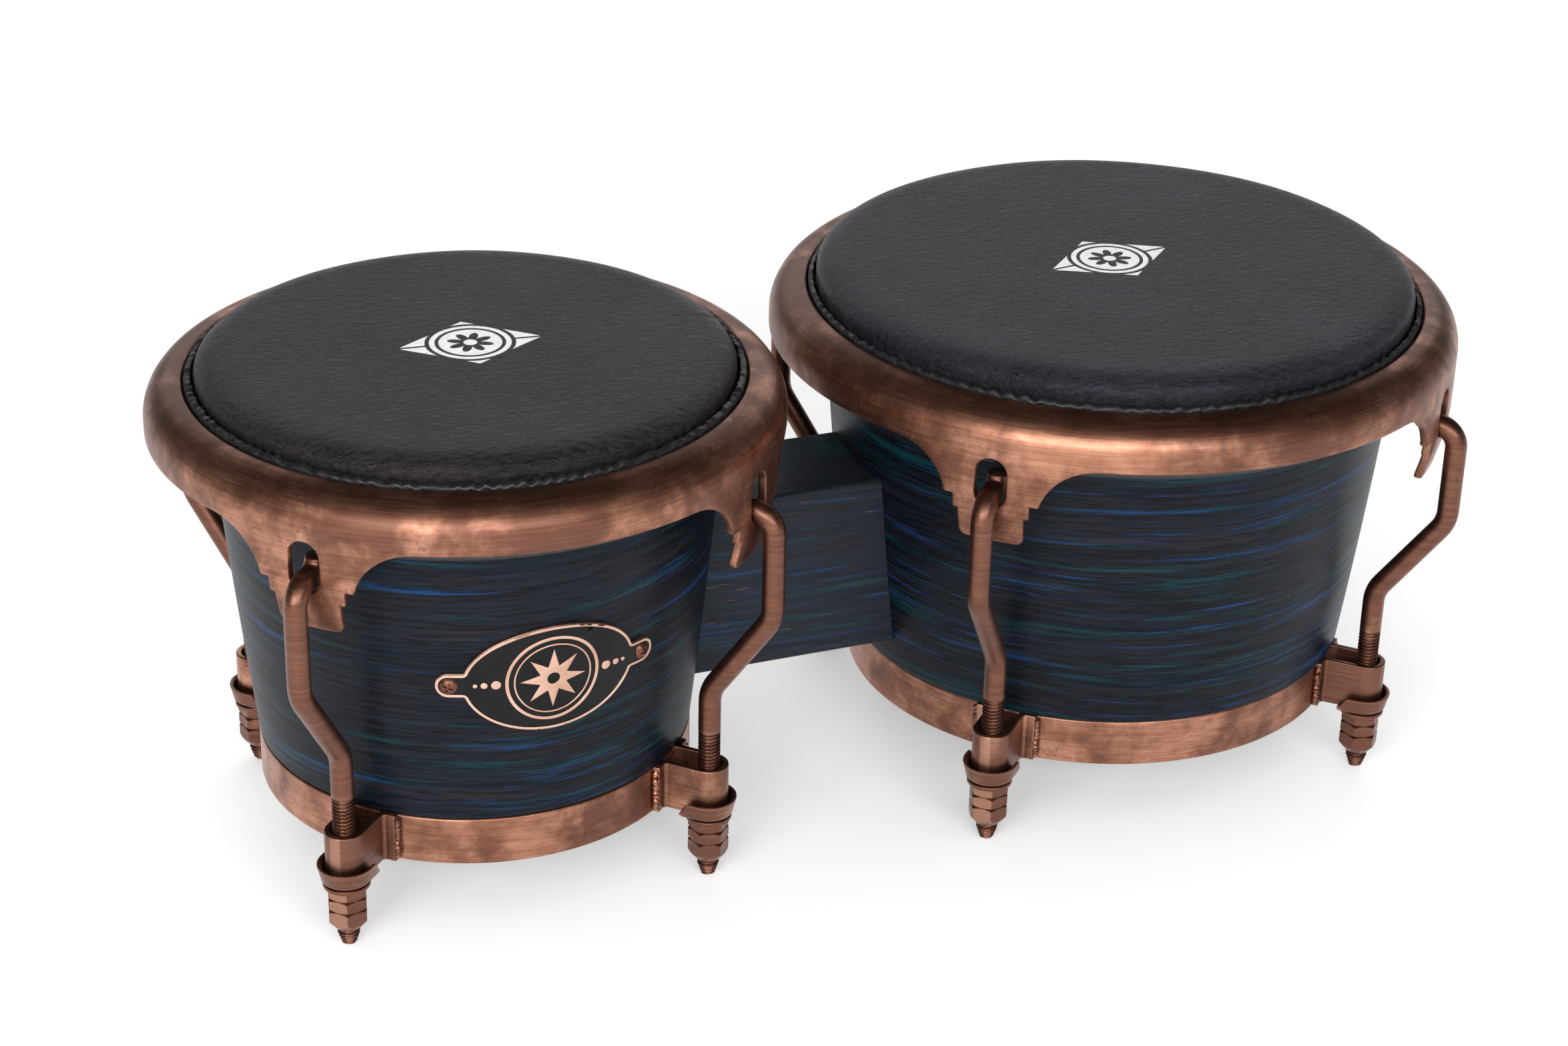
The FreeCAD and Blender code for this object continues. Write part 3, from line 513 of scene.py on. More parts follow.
def raw_wood(name):
    """The unfinished inner face of a shell."""
    shader = Shader(name)
    stretched = shader.scaled(shader.place, (40, 40, 600))
    grain = shader.noise(stretched, 1, 5, 0.6, 0.3)
    colour = shader.ramp(grain, (0.3, (0.085, 0.050, 0.028)), (0.7, (0.20, 0.125, 0.072)))
    shader.set(Base_Color=colour, Roughness=0.72)
    shader.bump((grain, 0.08))
    return shader.material


PRINTS = {"macho": (1.3, -0.1, -5.8), "hembra": (-2.8, -1.1, 7.5)}


def drumhead(name, drum, warm):
    """Black synthetic skin: fine creased grain, and a plain white ornament printed near the middle."""
    shader = Shader(name)
    x, y, z = shader.split(shader.place)
    centre = DRUMS[drum]["x"]
    wander = shader.noise(shader.place, 240, 2, 0.5)
    creased = shader.vector(shader.times(x, 0.5), y,
                            shader.plus(z, shader.times(wander, 0.0012)))
    creases = shader.noise(creased, 520, 5, 0.68, 0.9)
    pebbles = shader.cells(creased, 1300)
    clouds = shader.noise(shader.place, 22, 4, 0.6)
    fold = shader.noise(shader.scaled(shader.place, (10, 26, 26)), 1, 3, 0.5, 0.5)
    fold = shader.spread(shader.math("ABSOLUTE", shader.minus(fold, 0.5)), 0.0, 0.012, 0.0, 1.0)
    shade = shader.plus(shader.times(creases, 0.6), shader.times(clouds, 0.4))
    deep, pale = (((0.0030, 0.0024, 0.0028), (0.0190, 0.0150, 0.0175)) if warm else
                  ((0.0030, 0.0030, 0.0040), (0.0210, 0.0200, 0.0270)))
    skin = shader.ramp(shade, (0.34, deep), (0.66, pale))
    print_mask = print_shape(shader, x, y, centre, *PRINTS[drum])
    top = DRUMS[drum]["head_z"]
    above = shader.spread(z, (top - 1.5) * MM, (top - 1.0) * MM)
    colour = shader.mix(shader.times(print_mask, above), skin, (0.93, 0.93, 0.94))
    rough = shader.spread(creases, 0.3, 0.7, 0.31, 0.47)
    shine = shader.spread(z, (top - 10.0) * MM, (top - 1.5) * MM, 0.16, 0.42)
    shader.set(Base_Color=colour, Roughness=rough, Specular_IOR_Level=shine,
               Specular_Tint=(0.88, 0.84, 0.96, 1) if warm else (0.84, 0.83, 1.0, 1))
    shader.bump((clouds, 0.10), (fold, 0.10), (creases, 0.85), (pebbles, 0.12))
    return shader.material


def print_shape(shader, x, y, drum_x, right, back, turn):
    """Mask of the printed ornament: a disc with a rosette cut out of it, in a ring between two fins."""
    x = shader.minus(shader.math("DIVIDE", x, MM), drum_x + right)
    y = shader.minus(shader.math("DIVIDE", y, MM), back)
    cosine, sine = math.cos(math.radians(turn)), math.sin(math.radians(turn))
    along = shader.plus(shader.times(x, cosine), shader.times(y, sine))
    aside = shader.minus(shader.times(y, cosine), shader.times(x, sine))
    radius = shader.math("SQRT", shader.plus(shader.math("POWER", x, 2), shader.math("POWER", y, 2)))
    around = shader.math("ARCTAN2", aside, along)
    petal = shader.math("ABSOLUTE", shader.math("SINE", shader.times(around, 4)))
    cut = shader.minus(radius, shader.plus(3.6, shader.times(petal, 4.6)))
    disc = shader.times(shader.spread(radius, 11.1, 10.9), shader.spread(cut, -0.1, 0.1))
    dot = shader.spread(radius, 2.5, 2.3)
    ring = shader.spread(shader.math("ABSOLUTE", shader.minus(radius, 13.3)), 1.05, 0.85)
    reach = shader.math("ABSOLUTE", along)
    spread = shader.minus(8.2, shader.times(shader.minus(reach, 14.0), 0.72))
    height = shader.math("ABSOLUTE", aside)
    fin = shader.times(shader.spread(shader.minus(height, spread), 0.1, -0.1),
                      shader.spread(radius, 15.7, 15.9))
    fin = shader.times(fin, shader.spread(height, 0.5, 0.7))
    marks = shader.math("MAXIMUM", shader.math("MAXIMUM", ring, disc), shader.math("MAXIMUM", fin, dot))
    return shader.times(marks, shader.spread(reach, 25.5, 25.3))


def tuck_skin(name):
    """The head's trimmed edge: the same skin, creased and shinier."""
    shader = Shader(name)
    creases = shader.noise(shader.place, 700, 5, 0.7, 0.8)
    lumps = shader.noise(shader.place, 190, 3, 0.6)
    colour = shader.ramp(creases, (0.3, (0.002, 0.002, 0.002)), (0.72, (0.022, 0.021, 0.023)))
    shader.set(Base_Color=colour, Roughness=shader.spread(lumps, 0.35, 0.65, 0.28, 0.55))
    shader.bump((lumps, 0.35), (creases, 0.22))
    return shader.material


def plain_steel(name):
    shader = Shader(name)
    scratches = shader.noise(shader.scaled(shader.place, (300, 300, 1800)), 1, 3, 0.6)
    colour = shader.ramp(scratches, (0.3, (0.32, 0.32, 0.33)), (0.7, (0.56, 0.56, 0.57)))
    shader.set(Base_Color=colour, Metallic=1.0, Roughness=shader.spread(scratches, 0.3, 0.7, 0.3, 0.45))
    shader.bump((scratches, 0.01))
    return shader.material


def rose_metal(name):
    """Pale rose-gold plating of the badge's frame and ornament."""
    shader = Shader(name)
    fine = shader.noise(shader.place, 900, 3, 0.6)
    broad = shader.noise(shader.place, 60, 3, 0.5)
    colour = shader.ramp(broad, (0.3, (0.62, 0.36, 0.26)), (0.7, (0.80, 0.54, 0.42)))
    shader.set(Base_Color=colour, Metallic=1.0, Roughness=shader.spread(fine, 0.3, 0.7, 0.30, 0.42))
    shader.bump((fine, 0.012))
    return shader.material


def enamel(name):
    """Black enamel of the badge's field."""
    shader = Shader(name)
    orange_peel = shader.noise(shader.place, 500, 2, 0.5)
    tone = shader.noise(shader.place, 90, 3, 0.5)
    colour = shader.ramp(tone, (0.3, (0.0030, 0.0030, 0.0036)), (0.7, (0.0060, 0.0055, 0.0066)))
    shader.set(Base_Color=colour, Roughness=0.30, Specular_IOR_Level=0.18)
    shader.bump((orange_peel, 0.012))
    return shader.material


# ---------------------------------------------------------------- shells, bands, heads

def shell_radius(drum, height):
    """Radius of a shell's outer face at a height."""
    place = DRUMS[drum]
    along = (np.asarray(height, float) - SHELL_STEP_Z) / (place["top_z"] - SHELL_STEP_Z)
    straight = SHELL_FOOT_R[drum] + (SHELL_TOP_R[drum] - SHELL_FOOT_R[drum]) * along
    return straight + SHELL_SWELL[drum] * 4 * along * (1 - along)


def make_shell(drum, outside, within):
    place = DRUMS[drum]
    heights = np.linspace(SHELL_STEP_Z + 1.2, place["top_z"] - 9, 40)
    outer = np.stack((shell_radius(drum, heights), heights), 1)
    foot, top = SHELL_FOOT_R[drum], SHELL_TOP_R[drum]
    section = np.concatenate((
        rounded([(foot - SHELL_WALL, place["foot_z"], 1.0), (place["band_r"] - 2.0, place["foot_z"], 0.8),
                 (place["band_r"] - 2.0, SHELL_STEP_Z - 0.6), (foot - 0.9, SHELL_STEP_Z - 0.6)],
                closed=False),
        [(foot - 0.15, SHELL_STEP_Z + 0.1), (shell_radius(drum, SHELL_STEP_Z + 0.6), SHELL_STEP_Z + 0.6)],
        outer,
        rounded([(top, place["top_z"] - 8.9), (top, place["top_z"], 8.8),
                 (top - SHELL_WALL, place["top_z"], 1.6), (top - SHELL_WALL, place["top_z"] - 4)],
                closed=False)[1:],
    ))
    down = np.linspace(place["top_z"] - 8, place["foot_z"] + 4, 16)
    inner_r = np.interp(down, (place["foot_z"], place["top_z"]), (foot - SHELL_WALL, top - SHELL_WALL))
    inner = np.stack((inner_r, down), 1)
    piece = make_piece(f"{drum}_wood_shell", [lathe_part(np.concatenate((section, inner)), place["x"])],
                       "root", [f"{drum}_shell"], [outside, within])
    for polygon in piece.data.polygons:
        centre = polygon.center
        radius = math.hypot(centre.x - place["x"] * MM, centre.y) / MM
        if radius < shell_radius(drum, centre.z / MM) - 7 and centre.z / MM < place["top_z"] - 2:
            polygon.material_index = 1
    return piece


def make_band(drum, metal):
    place = DRUMS[drum]
    inner = place["band_r"] - 1.9
    section = rounded([(inner, place["band_low_z"], 0.3), (place["band_r"], place["band_low_z"], 0.8),
                       (place["band_r"], place["band_high_z"], 0.8), (inner, place["band_high_z"], 0.3)])
    section = spaced(section, 3)
    make_piece(f"{drum}_foot_band", [lathe_part(section, place["x"])], "root",
               [f"{drum}_bottom_band"], [metal])


def pucker(angle, seed, count=14):
    """Uneven small folds round a drum, between about -1 and 1."""
    random = np.random.default_rng(seed)
    total = np.zeros_like(angle)
    for _ in range(count):
        total = total + np.sin(angle * random.integers(38, 150) + random.uniform(0, math.tau))
    return total / math.sqrt(count)


def make_head(drum, seed, skin, tuck):
    """Playing skin over the bearing edge, and the tucked edge that stands inside the rim."""
    place = DRUMS[drum]
    outer, top = place["head_r"], place["head_z"]
    flat_end = outer - 14.2
    angles = np.linspace(0, math.pi / 2, 15)[1:]
    shoulder = np.stack((flat_end + 14 * np.sin(angles), top - 6.6 + 6.6 * np.cos(angles)), 1)
    flat = np.stack((np.linspace(0.02, flat_end, 24), np.full(24, top)), 1)
    skirt_z = np.linspace(top - 7.4, place["hoop_z"] + 5, 12)
    skirt_r = np.interp(skirt_z, (place["hoop_z"], top - 6.6), (outer + 0.4, outer - 0.2))
    skirt = np.stack((skirt_r, skirt_z), 1)
    face = np.concatenate((flat, shoulder, skirt))
    back = face[::-1].copy()
    back[:, 0] = np.maximum(back[:, 0] - 1.5, 0.02)
    back[:, 1] = np.where(back[:, 1] > top - 5, back[:, 1] - 1.6, back[:, 1])

    def wobble(angle, radius, height):
        folds = pucker(angle, seed)
        low = np.clip((top - 4.5 - height) / 6, 0, 1)
        slack = pucker(angle, seed + 5, 3) * 0.2
        shift = (folds * 0.22 * low + slack * 0.3 * low) * (radius > flat_end)
        sag = 0.12 * pucker(angle * 0.06, seed + 2, 3) * np.clip(radius / outer, 0, 1)
        return radius + shift, height + sag

    turned = lathe_part(np.concatenate((face, back)), place["x"], 720, True, wobble)
    head = make_piece(f"{drum}_skin", [turned], None, [f"{drum}_head"], [skin], 60)
    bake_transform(head)

    inner, hoop_z = outer + 0.8, place["hoop_z"]
    strip = place["rim_r"] - RIM_WALL - 0.5
    wrap = place["hoop_r"] + 4
    section = spaced(rounded([
        (inner, place["tuck_z"], 0.7), (inner, hoop_z - 4, 3.9), (wrap, hoop_z - 4, 3.9),
        (wrap, hoop_z + 3.95, 3.2), (strip, hoop_z + 3.95), (strip, place["tuck_z"], 0.9)]), 1.2)

    def crumple(angle, radius, height):
        high = np.clip((height - hoop_z - 8) / 10, 0, 1)
        lean = 0.5 + 0.5 * (radius - inner) / (strip - inner)
        radius = radius + 0.28 * pucker(angle, seed + 9, 18) * high * (1 - 0.6 * lean)
        return radius, height + (0.45 * pucker(angle, seed + 7, 10) - 1.6 * (lean - 0.5)) * high

    make_piece(f"{drum}_tucked_edge", [lathe_part(section, place["x"], 720, True, crumple)],
               f"{drum}_rim_set", [f"{drum}_head_tuck"], [tuck], 60)


# ---------------------------------------------------------------- rims

RIM_SHEET = 3.0
RIM_CREST_Z = 179.4
EAR_FOOT_Z = 129.5
EAR_ROOT_Z = 162.0


def ear_face(outer, lift):
    """Sampled (height, radius) of an ear's outer face, its tip leaning in."""
    line = rounded([(outer, 170 + lift), (outer, 142 + lift, 40), (outer - 3.5, 128 + lift)],
                   closed=False)[::-1]
    return line[:, 1], line[:, 0]


def ear_edge(reach, lift):
    """Lower edge of one quarter of a rim, from left to right, with its ear in the middle."""
    right = [(0, EAR_FOOT_Z), (12.2, EAR_FOOT_Z, 3), (12.2, 140.8, 0.5), (14.2, 140.8, 0.7), (14.2, 146, 0.5),
             (17.4, 146, 0.7), (21.4, EAR_ROOT_Z, 21.2), (reach, EAR_ROOT_Z)]
    half = spaced(rounded(right, closed=False), 1.5, closed=False)
    left = half[::-1] * (-1, 1)
    return np.concatenate((left, half[1:])) + (0, lift)


def slot_edge(lift):
    """A slot's edge, clockwise."""
    low, high, half = 143.5 + lift, 162.0 + lift, 5.7
    return spaced(rounded([(-half, low, half - 0.02), (-half, high, half - 0.02), (half, high, half - 0.02),
                           (half, low, half - 0.02)], degrees=12), 1.2)


def make_rim(drum, metal):
    place = DRUMS[drum]
    outer, lift = place["rim_r"], place["rim_top_z"] - RIM_CREST_Z
    inner = outer - RIM_WALL
    crest, join = RIM_CREST_Z + lift, 165.5 + lift
    quarter_steps = 72
    section = rounded([
        (outer, join), (outer, crest, 12.4), (inner, crest, 1.25), (inner, 163.2 + lift, 0.8),
        (inner + RIM_SHEET, 163.2 + lift, 0.8), (inner + RIM_SHEET, crest - RIM_SHEET, 1),
        (outer - RIM_SHEET, crest - RIM_SHEET, 6.4), (outer - RIM_SHEET, join)], closed=False, degrees=6)
    parts = [lathe_part(section, place["x"], quarter_steps * 4, closed=False)]
    heights, radii = ear_face(outer, lift)
    reach = math.pi / 4 * outer
    bevel = 0.7
    steps = edge_steps(RIM_SHEET, bevel)
    edge, slot = ear_edge(reach, lift), slot_edge(lift)
    edge_in, slot_in = inset(edge, bevel, closed=False), inset(slot, bevel)
    edge_in[0, 0], edge_in[-1, 0] = -reach, reach
    side_z = np.linspace(EAR_ROOT_Z + lift + bevel, join, 4)[1:-1]
    top_row = np.linspace(reach, -reach, quarter_steps + 1)
    outline = np.concatenate((edge_in, [(reach, z) for z in side_z], [(t, join) for t in top_row],
                              [(-reach, z) for z in side_z[::-1]]))
    flat, triangles = fill([outline, slot_in], 2.0)
    for angle in LUG_ANGLES:
        middle = math.radians(angle)

        def to_space(points, depth):
            around = middle + points[:, 0] / outer
            radius = np.interp(points[:, 1], heights, radii) - depth
            return np.stack((place["x"] + radius * np.cos(around), radius * np.sin(around), points[:, 1]), 1)

        parts.append((to_space(flat, 0.0), triangles))
        parts.append((to_space(flat, RIM_SHEET), [t[::-1] for t in triangles]))
        for line, closed in ((edge, False), (slot, True)):
            rings = []
            for step in steps:
                moved = inset(line, step[0], closed)
                if not closed:
                    moved[0, 0], moved[-1, 0] = -reach, reach
                rings.append(to_space(moved, step[1]))
            parts.append(grid_part(np.stack(rings, 1), closed, False))
    make_piece(f"{drum}_pressed_rim", parts, f"{drum}_rim_set",
               [f"{drum}_rim"], [metal], 50)


# ---------------------------------------------------------------- tuning hardware

ROD_RADIUS = 3.97
THREAD_TOP_Z = 57.7


def at_lug(drum, number, points):
    """Points given (outward, sideways, up) from a rod's axis, moved to that lug."""
    x, y = rod_place(drum, number)
    turn = math.radians(LUG_ANGLES[number - 1])
    out, side, up = points[..., 0], points[..., 1], points[..., 2]
    return np.stack((x + out * math.cos(turn) - side * math.sin(turn),
                     y + out * math.sin(turn) + side * math.cos(turn), up), -1)


def move_parts(drum, number, parts):
    return [(at_lug(drum, number, points), faces) for points, faces in parts]


def make_hook(drum, number, metal):
    """Cranked rod with a real helical thread below and a sawn, eased end above."""
    lift = DRUMS[drum]["rim_top_z"] - RIM_CREST_Z
    route = rounded([(0, THREAD_TOP_Z + 1.5), (0, 75.4, 14), (23.4, 109.4, 14), (23.4, 147.8 + lift, 8),
                     (9, 147.8 + lift, 5.5), (9, 154.2 + lift)], closed=False, degrees=6)
    route = spaced(route, 2.5, closed=False)
    thread_z = np.arange(0, THREAD_TOP_Z + 1.5, THREAD_PITCH / 11)
    path = np.concatenate((np.stack((np.zeros_like(thread_z), thread_z), 1), route))
    segments = 40
    turn = np.linspace(0, 1, segments, endpoint=False)[:, None]
    phase = (thread_z[None] / THREAD_PITCH - turn) % 1
    flank = np.clip((np.abs(phase - 0.5) * 2 - 0.10) / 0.72, 0, 1)
    fade = np.clip((THREAD_TOP_Z - thread_z) / 2.2, 0, 1)
    tip = np.minimum(2.4 + thread_z * 0.34, ROD_RADIUS)
    radius = np.full((segments, len(path)), ROD_RADIUS)
    radius[:, :len(thread_z)] = np.minimum(ROD_RADIUS - 0.80 * flank * fade, tip - 0.6 * flank)
    along_end = np.concatenate(([0], np.cumsum(np.linalg.norm(np.diff(path, axis=0), axis=1))))
    left = along_end[-1] - along_end
    radius = radius - np.where(left < 1.2, 1.2 - np.sqrt(np.maximum(1.44 - (1.2 - left) ** 2, 0)), 0)
    line = np.stack((path[:, 0], np.zeros(len(path)), path[:, 1]), 1)
    parts = move_parts(drum, number, [sweep_part(line, radius)])
    make_piece(f"{drum}_rod_{number}", parts, f"{drum}_rim_set",
               [f"{drum}_hook_{number}"], [metal], 45)


def make_nut(drum, number, metal):
    """Hexagonal nut: a turned profile cut to the hexagon, so each chamfer meets the flats in a curve."""
    corner, bore = 7.45, 4.0
    profile = rounded([
        (bore, 7.0, 0.3), (4.5, 7.0, 0.25), (corner + 0.15, 10.8), (corner + 0.15, 14.3), (6.15, 15.2),
        (corner + 0.15, 16.1), (corner + 0.15, 19.0), (6.15, 19.9), (corner + 0.15, 20.8),
        (corner + 0.15, 23.9), (8.3, 23.9, 0.3), (8.3, 25.5, 0.45), (bore, 25.5, 0.4)])
    profile = spaced(profile, 0.35)

    def cut_hexagon(angle, radius, height):
        fold = np.abs((angle + math.pi / 6) % (math.pi / 3) - math.pi / 6)
        hexagon = np.minimum(corner * math.cos(math.pi / 6) / np.cos(fold), corner - 0.12)
        in_hexagon = (height < 23.95) & (radius > bore + 0.6)
        return np.where(in_hexagon, np.minimum(radius, hexagon), radius), height

    parts = move_parts(drum, number, [lathe_part(profile, 0, 144, True, cut_hexagon)])
    make_piece(f"{drum}_hex_nut_{number}", parts, f"{drum}_nut_{number}",
               [f"{drum}_tuning_nut_{number}"], [metal], 24)


def make_saddle(drum, number, metal):
    """Stamped saddle: a base with a hole and a flared lip that fades out towards the band."""
    half, inner_end, base, under = 9.0, -7.6, 27.55, 25.65
    arc = np.linspace(-math.pi / 2, math.pi / 2, 37)
    outer = np.concatenate((
        [(x, -half) for x in np.linspace(inner_end, -0.6, 8)],
        np.stack((half * np.cos(arc), half * np.sin(arc)), 1),
        [(x, half) for x in np.linspace(-0.6, inner_end, 8)],
        [(inner_end, y) for y in np.linspace(half - 1.5, -half + 1.5, 11)],
    ))
    rise = np.clip((outer[:, 0] - inner_end) / 4.5, 0, 1)
    rise = rise * rise * (3 - 2 * rise)
    hole = np.stack((4.6 * outer[:, 0], 4.6 * outer[:, 1]), 1) / np.linalg.norm(outer, axis=1)[:, None]
    rings = [np.column_stack((hole, np.full(len(hole), under)))]
    for move, height in ((2.4, under), (1.1, under + 0.25), (0.3, under + 1.0), (0.0, under + 2.2),
                         (-0.5, 30.2), (-1.0, 32.0), (-0.95, 32.5), (-0.5, 32.7), (0.2, 32.4), (0.6, 31.6),
                         (0.95, 30.2), (1.5, 28.6), (2.1, 27.9), (3.0, base)):
        line = inset(outer, move)
        level = np.where(height > base, base + (height - base) * rise, height)
        rings.append(np.column_stack((outer + (line - outer) * np.where(move < 0, rise, 1)[:, None], level)))
    rings.append(np.column_stack((hole, np.full(len(hole), base))))
    parts = move_parts(drum, number, [grid_part(np.stack(rings, 1), True, True)])
    make_piece(f"{drum}_saddle_washer_{number}", parts, "root",
               [f"{drum}_saddle_{number}"], [metal], 50)


def bead_part(out, side, low, high, seed):
    """An uneven weld bead standing along a bracket's foot."""
    random = np.random.default_rng(seed)
    height = np.linspace(low, high, 34)
    lumps = 1.15 + 0.22 * np.sin(height * 3.4 + random.uniform(0, 6)) + random.normal(0, 0.10, len(height))
    lumps *= np.sqrt(np.clip(np.minimum(height - low, high - height) / 1.2, 0.02, 1))
    drift = random.normal(0, 0.14, (len(height), 2))
    line = np.column_stack((out + drift[:, 0], side + drift[:, 1], height))
    turn = np.linspace(0, math.tau, 12, endpoint=False)[:, None]
    points = np.stack((line[:, 0] + lumps * np.cos(turn), line[:, 1] + lumps * np.sin(turn),
                       np.repeat(height[None], 12, 0)), -1)
    return closed_tube(line, points)


def make_bracket(drum, number, metal):
    """Strap bent round the rod, with two feet on the band and a weld bead along each."""
    place = DRUMS[drum]
    rod_x, rod_y = rod_place(drum, number)
    rod = math.hypot(rod_x - place["x"], rod_y)
    low, high = (box_mm(f"{drum}_bracket_{number}")[i][2] for i in (0, 1))
    foot = place["band_r"] - rod
    face, buried, reach = foot + 1.6, foot - 0.9, 11.5
    plan = spaced(rounded([
        (buried, -reach, 0.3), (face, -reach, 0.6), (face, -7, 1.5), (7, -7, 6.98), (7, 7, 6.98),
        (face, 7, 1.5), (face, reach, 0.6), (buried, reach, 0.3), (buried, 5, 0.3), (5, 5, 4.98),
        (5, -5, 4.98), (buried, -5, 0.3)], degrees=10), 2.5)

    def to_space(points, depth):
        return np.column_stack((points, np.full(len(points), high - depth)))

    parts = plate_parts([plan], high - low, 0.45, 3.0, to_space)
    for way in (-1, 1):
        parts.append(bead_part(foot + 0.35, way * (reach + 0.25), low + 0.6, high - 0.5, number * 7 + way))
    make_piece(f"{drum}_lug_bracket_{number}", move_parts(drum, number, parts), "root",
               [f"{drum}_bracket_{number}"], [metal], 40)


# ---------------------------------------------------------------- centre block and badge

def make_block(wood):
    """Block between the shells: its long edges eased, its ends coped to both drums."""
    low, high = box_mm("centre_block")
    half, foot, top = high[1], low[2], high[2]
    loop = spaced(rounded([(-half, foot, 1.6), (half, foot, 1.6), (half, top, 1.6), (-half, top, 1.6)]), 3)
    macho, hembra = DRUMS["macho"], DRUMS["hembra"]

    def span(points):
        left = macho["x"] + np.sqrt(shell_radius("macho", points[:, 1]) ** 2 - points[:, 0] ** 2)
        right = hembra["x"] - np.sqrt(shell_radius("hembra", points[:, 1]) ** 2 - points[:, 0] ** 2)
        return left, right

    left, right = span(loop)
    along = np.linspace(0, 1, 16)
    x = left[:, None] + (right - left)[:, None] * along
    points = np.stack((x, np.repeat(loop[:, :1], 16, 1), np.repeat(loop[:, 1:], 16, 1)), -1)
    parts = [grid_part(points, True, False)]
    flat, triangles = fill([loop], 4)
    for x_end, faces in zip(span(flat), (triangles, [t[::-1] for t in triangles])):
        parts.append((np.column_stack((x_end, flat)), faces))
    make_piece("wood_block", parts, "root", ["centre_block"], [wood], 35)


BADGE_Z = 102.4
BADGE_HALF = (31.0, 20.5)
BADGE_TAB = 35.4


def badge_space(lift):
    """Wraps the badge's plan (sideways, up) on the small drum's shell, its face lift above the wood."""
    middle = math.radians(BADGE_ANGLE)

    def to_space(points, depth):
        radius = shell_radius("macho", points[:, 1]) + lift - depth
        around = middle + points[:, 0] / (shell_radius("macho", BADGE_Z) + 1)
        x = DRUMS["macho"]["x"] + radius * np.cos(around)
        return np.stack((x, radius * np.sin(around), points[:, 1]), 1)

    return to_space


def badge_outline():
    """The badge's edge: an ellipse with a round tab at each end, anticlockwise."""
    wide, high = BADGE_HALF
    tab = 4.6
    meet = math.asin(tab / high)
    top = [(wide * math.cos(a), high * math.sin(a)) for a in np.linspace(meet, math.pi - meet, 60)[1:-1]]
    neck = wide * math.cos(meet)
    corners = [(BADGE_TAB + tab, -tab, tab - 0.05), (BADGE_TAB + tab, tab, tab - 0.05),
               (neck, tab, 0.8), *top,
               (-neck, tab, 0.8), (-BADGE_TAB - tab, tab, tab - 0.05), (-BADGE_TAB - tab, -tab, tab - 0.05),
               (-neck, -tab, 0.8), *[(-x, -y) for x, y in top], (neck, -tab, 0.8)]
    return spaced(rounded(corners) + (0, BADGE_Z), 1.2)


def star(points, outer, inner):
    """A many-pointed star at the badge's middle, anticlockwise."""
    corners = []
    for i in range(points * 2):
        radius = outer if i % 2 == 0 else inner
        angle = math.pi / 2 + math.pi * i / points
        corners.append((radius * math.cos(angle), BADGE_Z + radius * math.sin(angle)))
    return spaced(np.array(corners), 1.0)


def make_badge(rose, black):
    """Oval badge: enamel field in a raised border, a star inside two rings, three beads on each side."""
    outline = badge_outline()
    backing = plate_parts([outline], 1.2, 0.25, 2.5, badge_space(1.2))
    make_piece("badge_backing", backing, "root", ["badge"], [rose], 50)
    field = plate_parts([inset(outline, 0.9)], 0.5, 0.12, 2.0, badge_space(1.4))
    make_piece("badge_field", field, "root", [], [black], 50)
    raised = []
    centre = (0, BADGE_Z)
    for loops in ([inset(outline, 0.15), inset(outline, 1.15)[::-1]],
                  [circle(16.6, 96, False, centre), circle(15.4, 96, True, centre)],
                  [circle(13.7, 96, False, centre), circle(13.1, 96, True, centre)],
                  [star(8, 11.6, 5.0), circle(2.2, 32, True, centre)],
                  *[[circle(size, 24, False, (way * out, BADGE_Z))]
                    for way in (-1, 1) for out, size in ((19.6, 1.7), (23.6, 1.2), (26.6, 0.8))]):
        raised += plate_parts(loops, 0.7, 0.14, 1.6, badge_space(1.7))
    make_piece("badge_ornament", raised, "root", [], [rose], 50)


def make_badge_screws(metal):
    """Two domed screws with a cross recess, one through each tab of the badge."""
    parts = []
    rings = np.concatenate((np.linspace(0.01, 2.95, 30), [3.0, 3.0]))
    angle = np.linspace(0, math.tau, 96, endpoint=False)[:, None]
    across, up = rings * np.cos(angle), rings * np.sin(angle)
    dome = 1.75 - 1.3 * (rings / 3.0) ** 2.6 + 0 * angle
    arm = np.minimum(np.abs(across), np.abs(up)) < 0.36
    length = np.maximum(np.abs(across), np.abs(up)) < 1.75
    dome = np.where(arm & length, dome - 0.85 * (1 - 0.35 * rings / 1.75), dome)
    dome[:, -1] = -0.5
    for way in (-1, 1):
        middle = math.radians(BADGE_ANGLE) + way * BADGE_TAB / (shell_radius("macho", BADGE_Z) + 1)
        tilt = 0.4 * way
        outward = np.array((math.cos(middle), math.sin(middle), 0))
        side = np.array((-math.sin(middle), math.cos(middle), 0))
        seat = shell_radius("macho", BADGE_Z) + 1.1
        centre = np.array((DRUMS["macho"]["x"], 0, BADGE_Z)) + outward * seat
        sideways = across * math.cos(tilt) - up * math.sin(tilt)
        upward = across * math.sin(tilt) + up * math.cos(tilt)
        points = centre + dome[..., None] * outward + sideways[..., None] * side
        points = points + upward[..., None] * np.array((0, 0, 1))
        parts.append(grid_part(points, True, False))
    make_piece("badge_screw_pair", parts, "root", ["badge_screws"], [metal], 40)


# ---------------------------------------------------------------- the pair

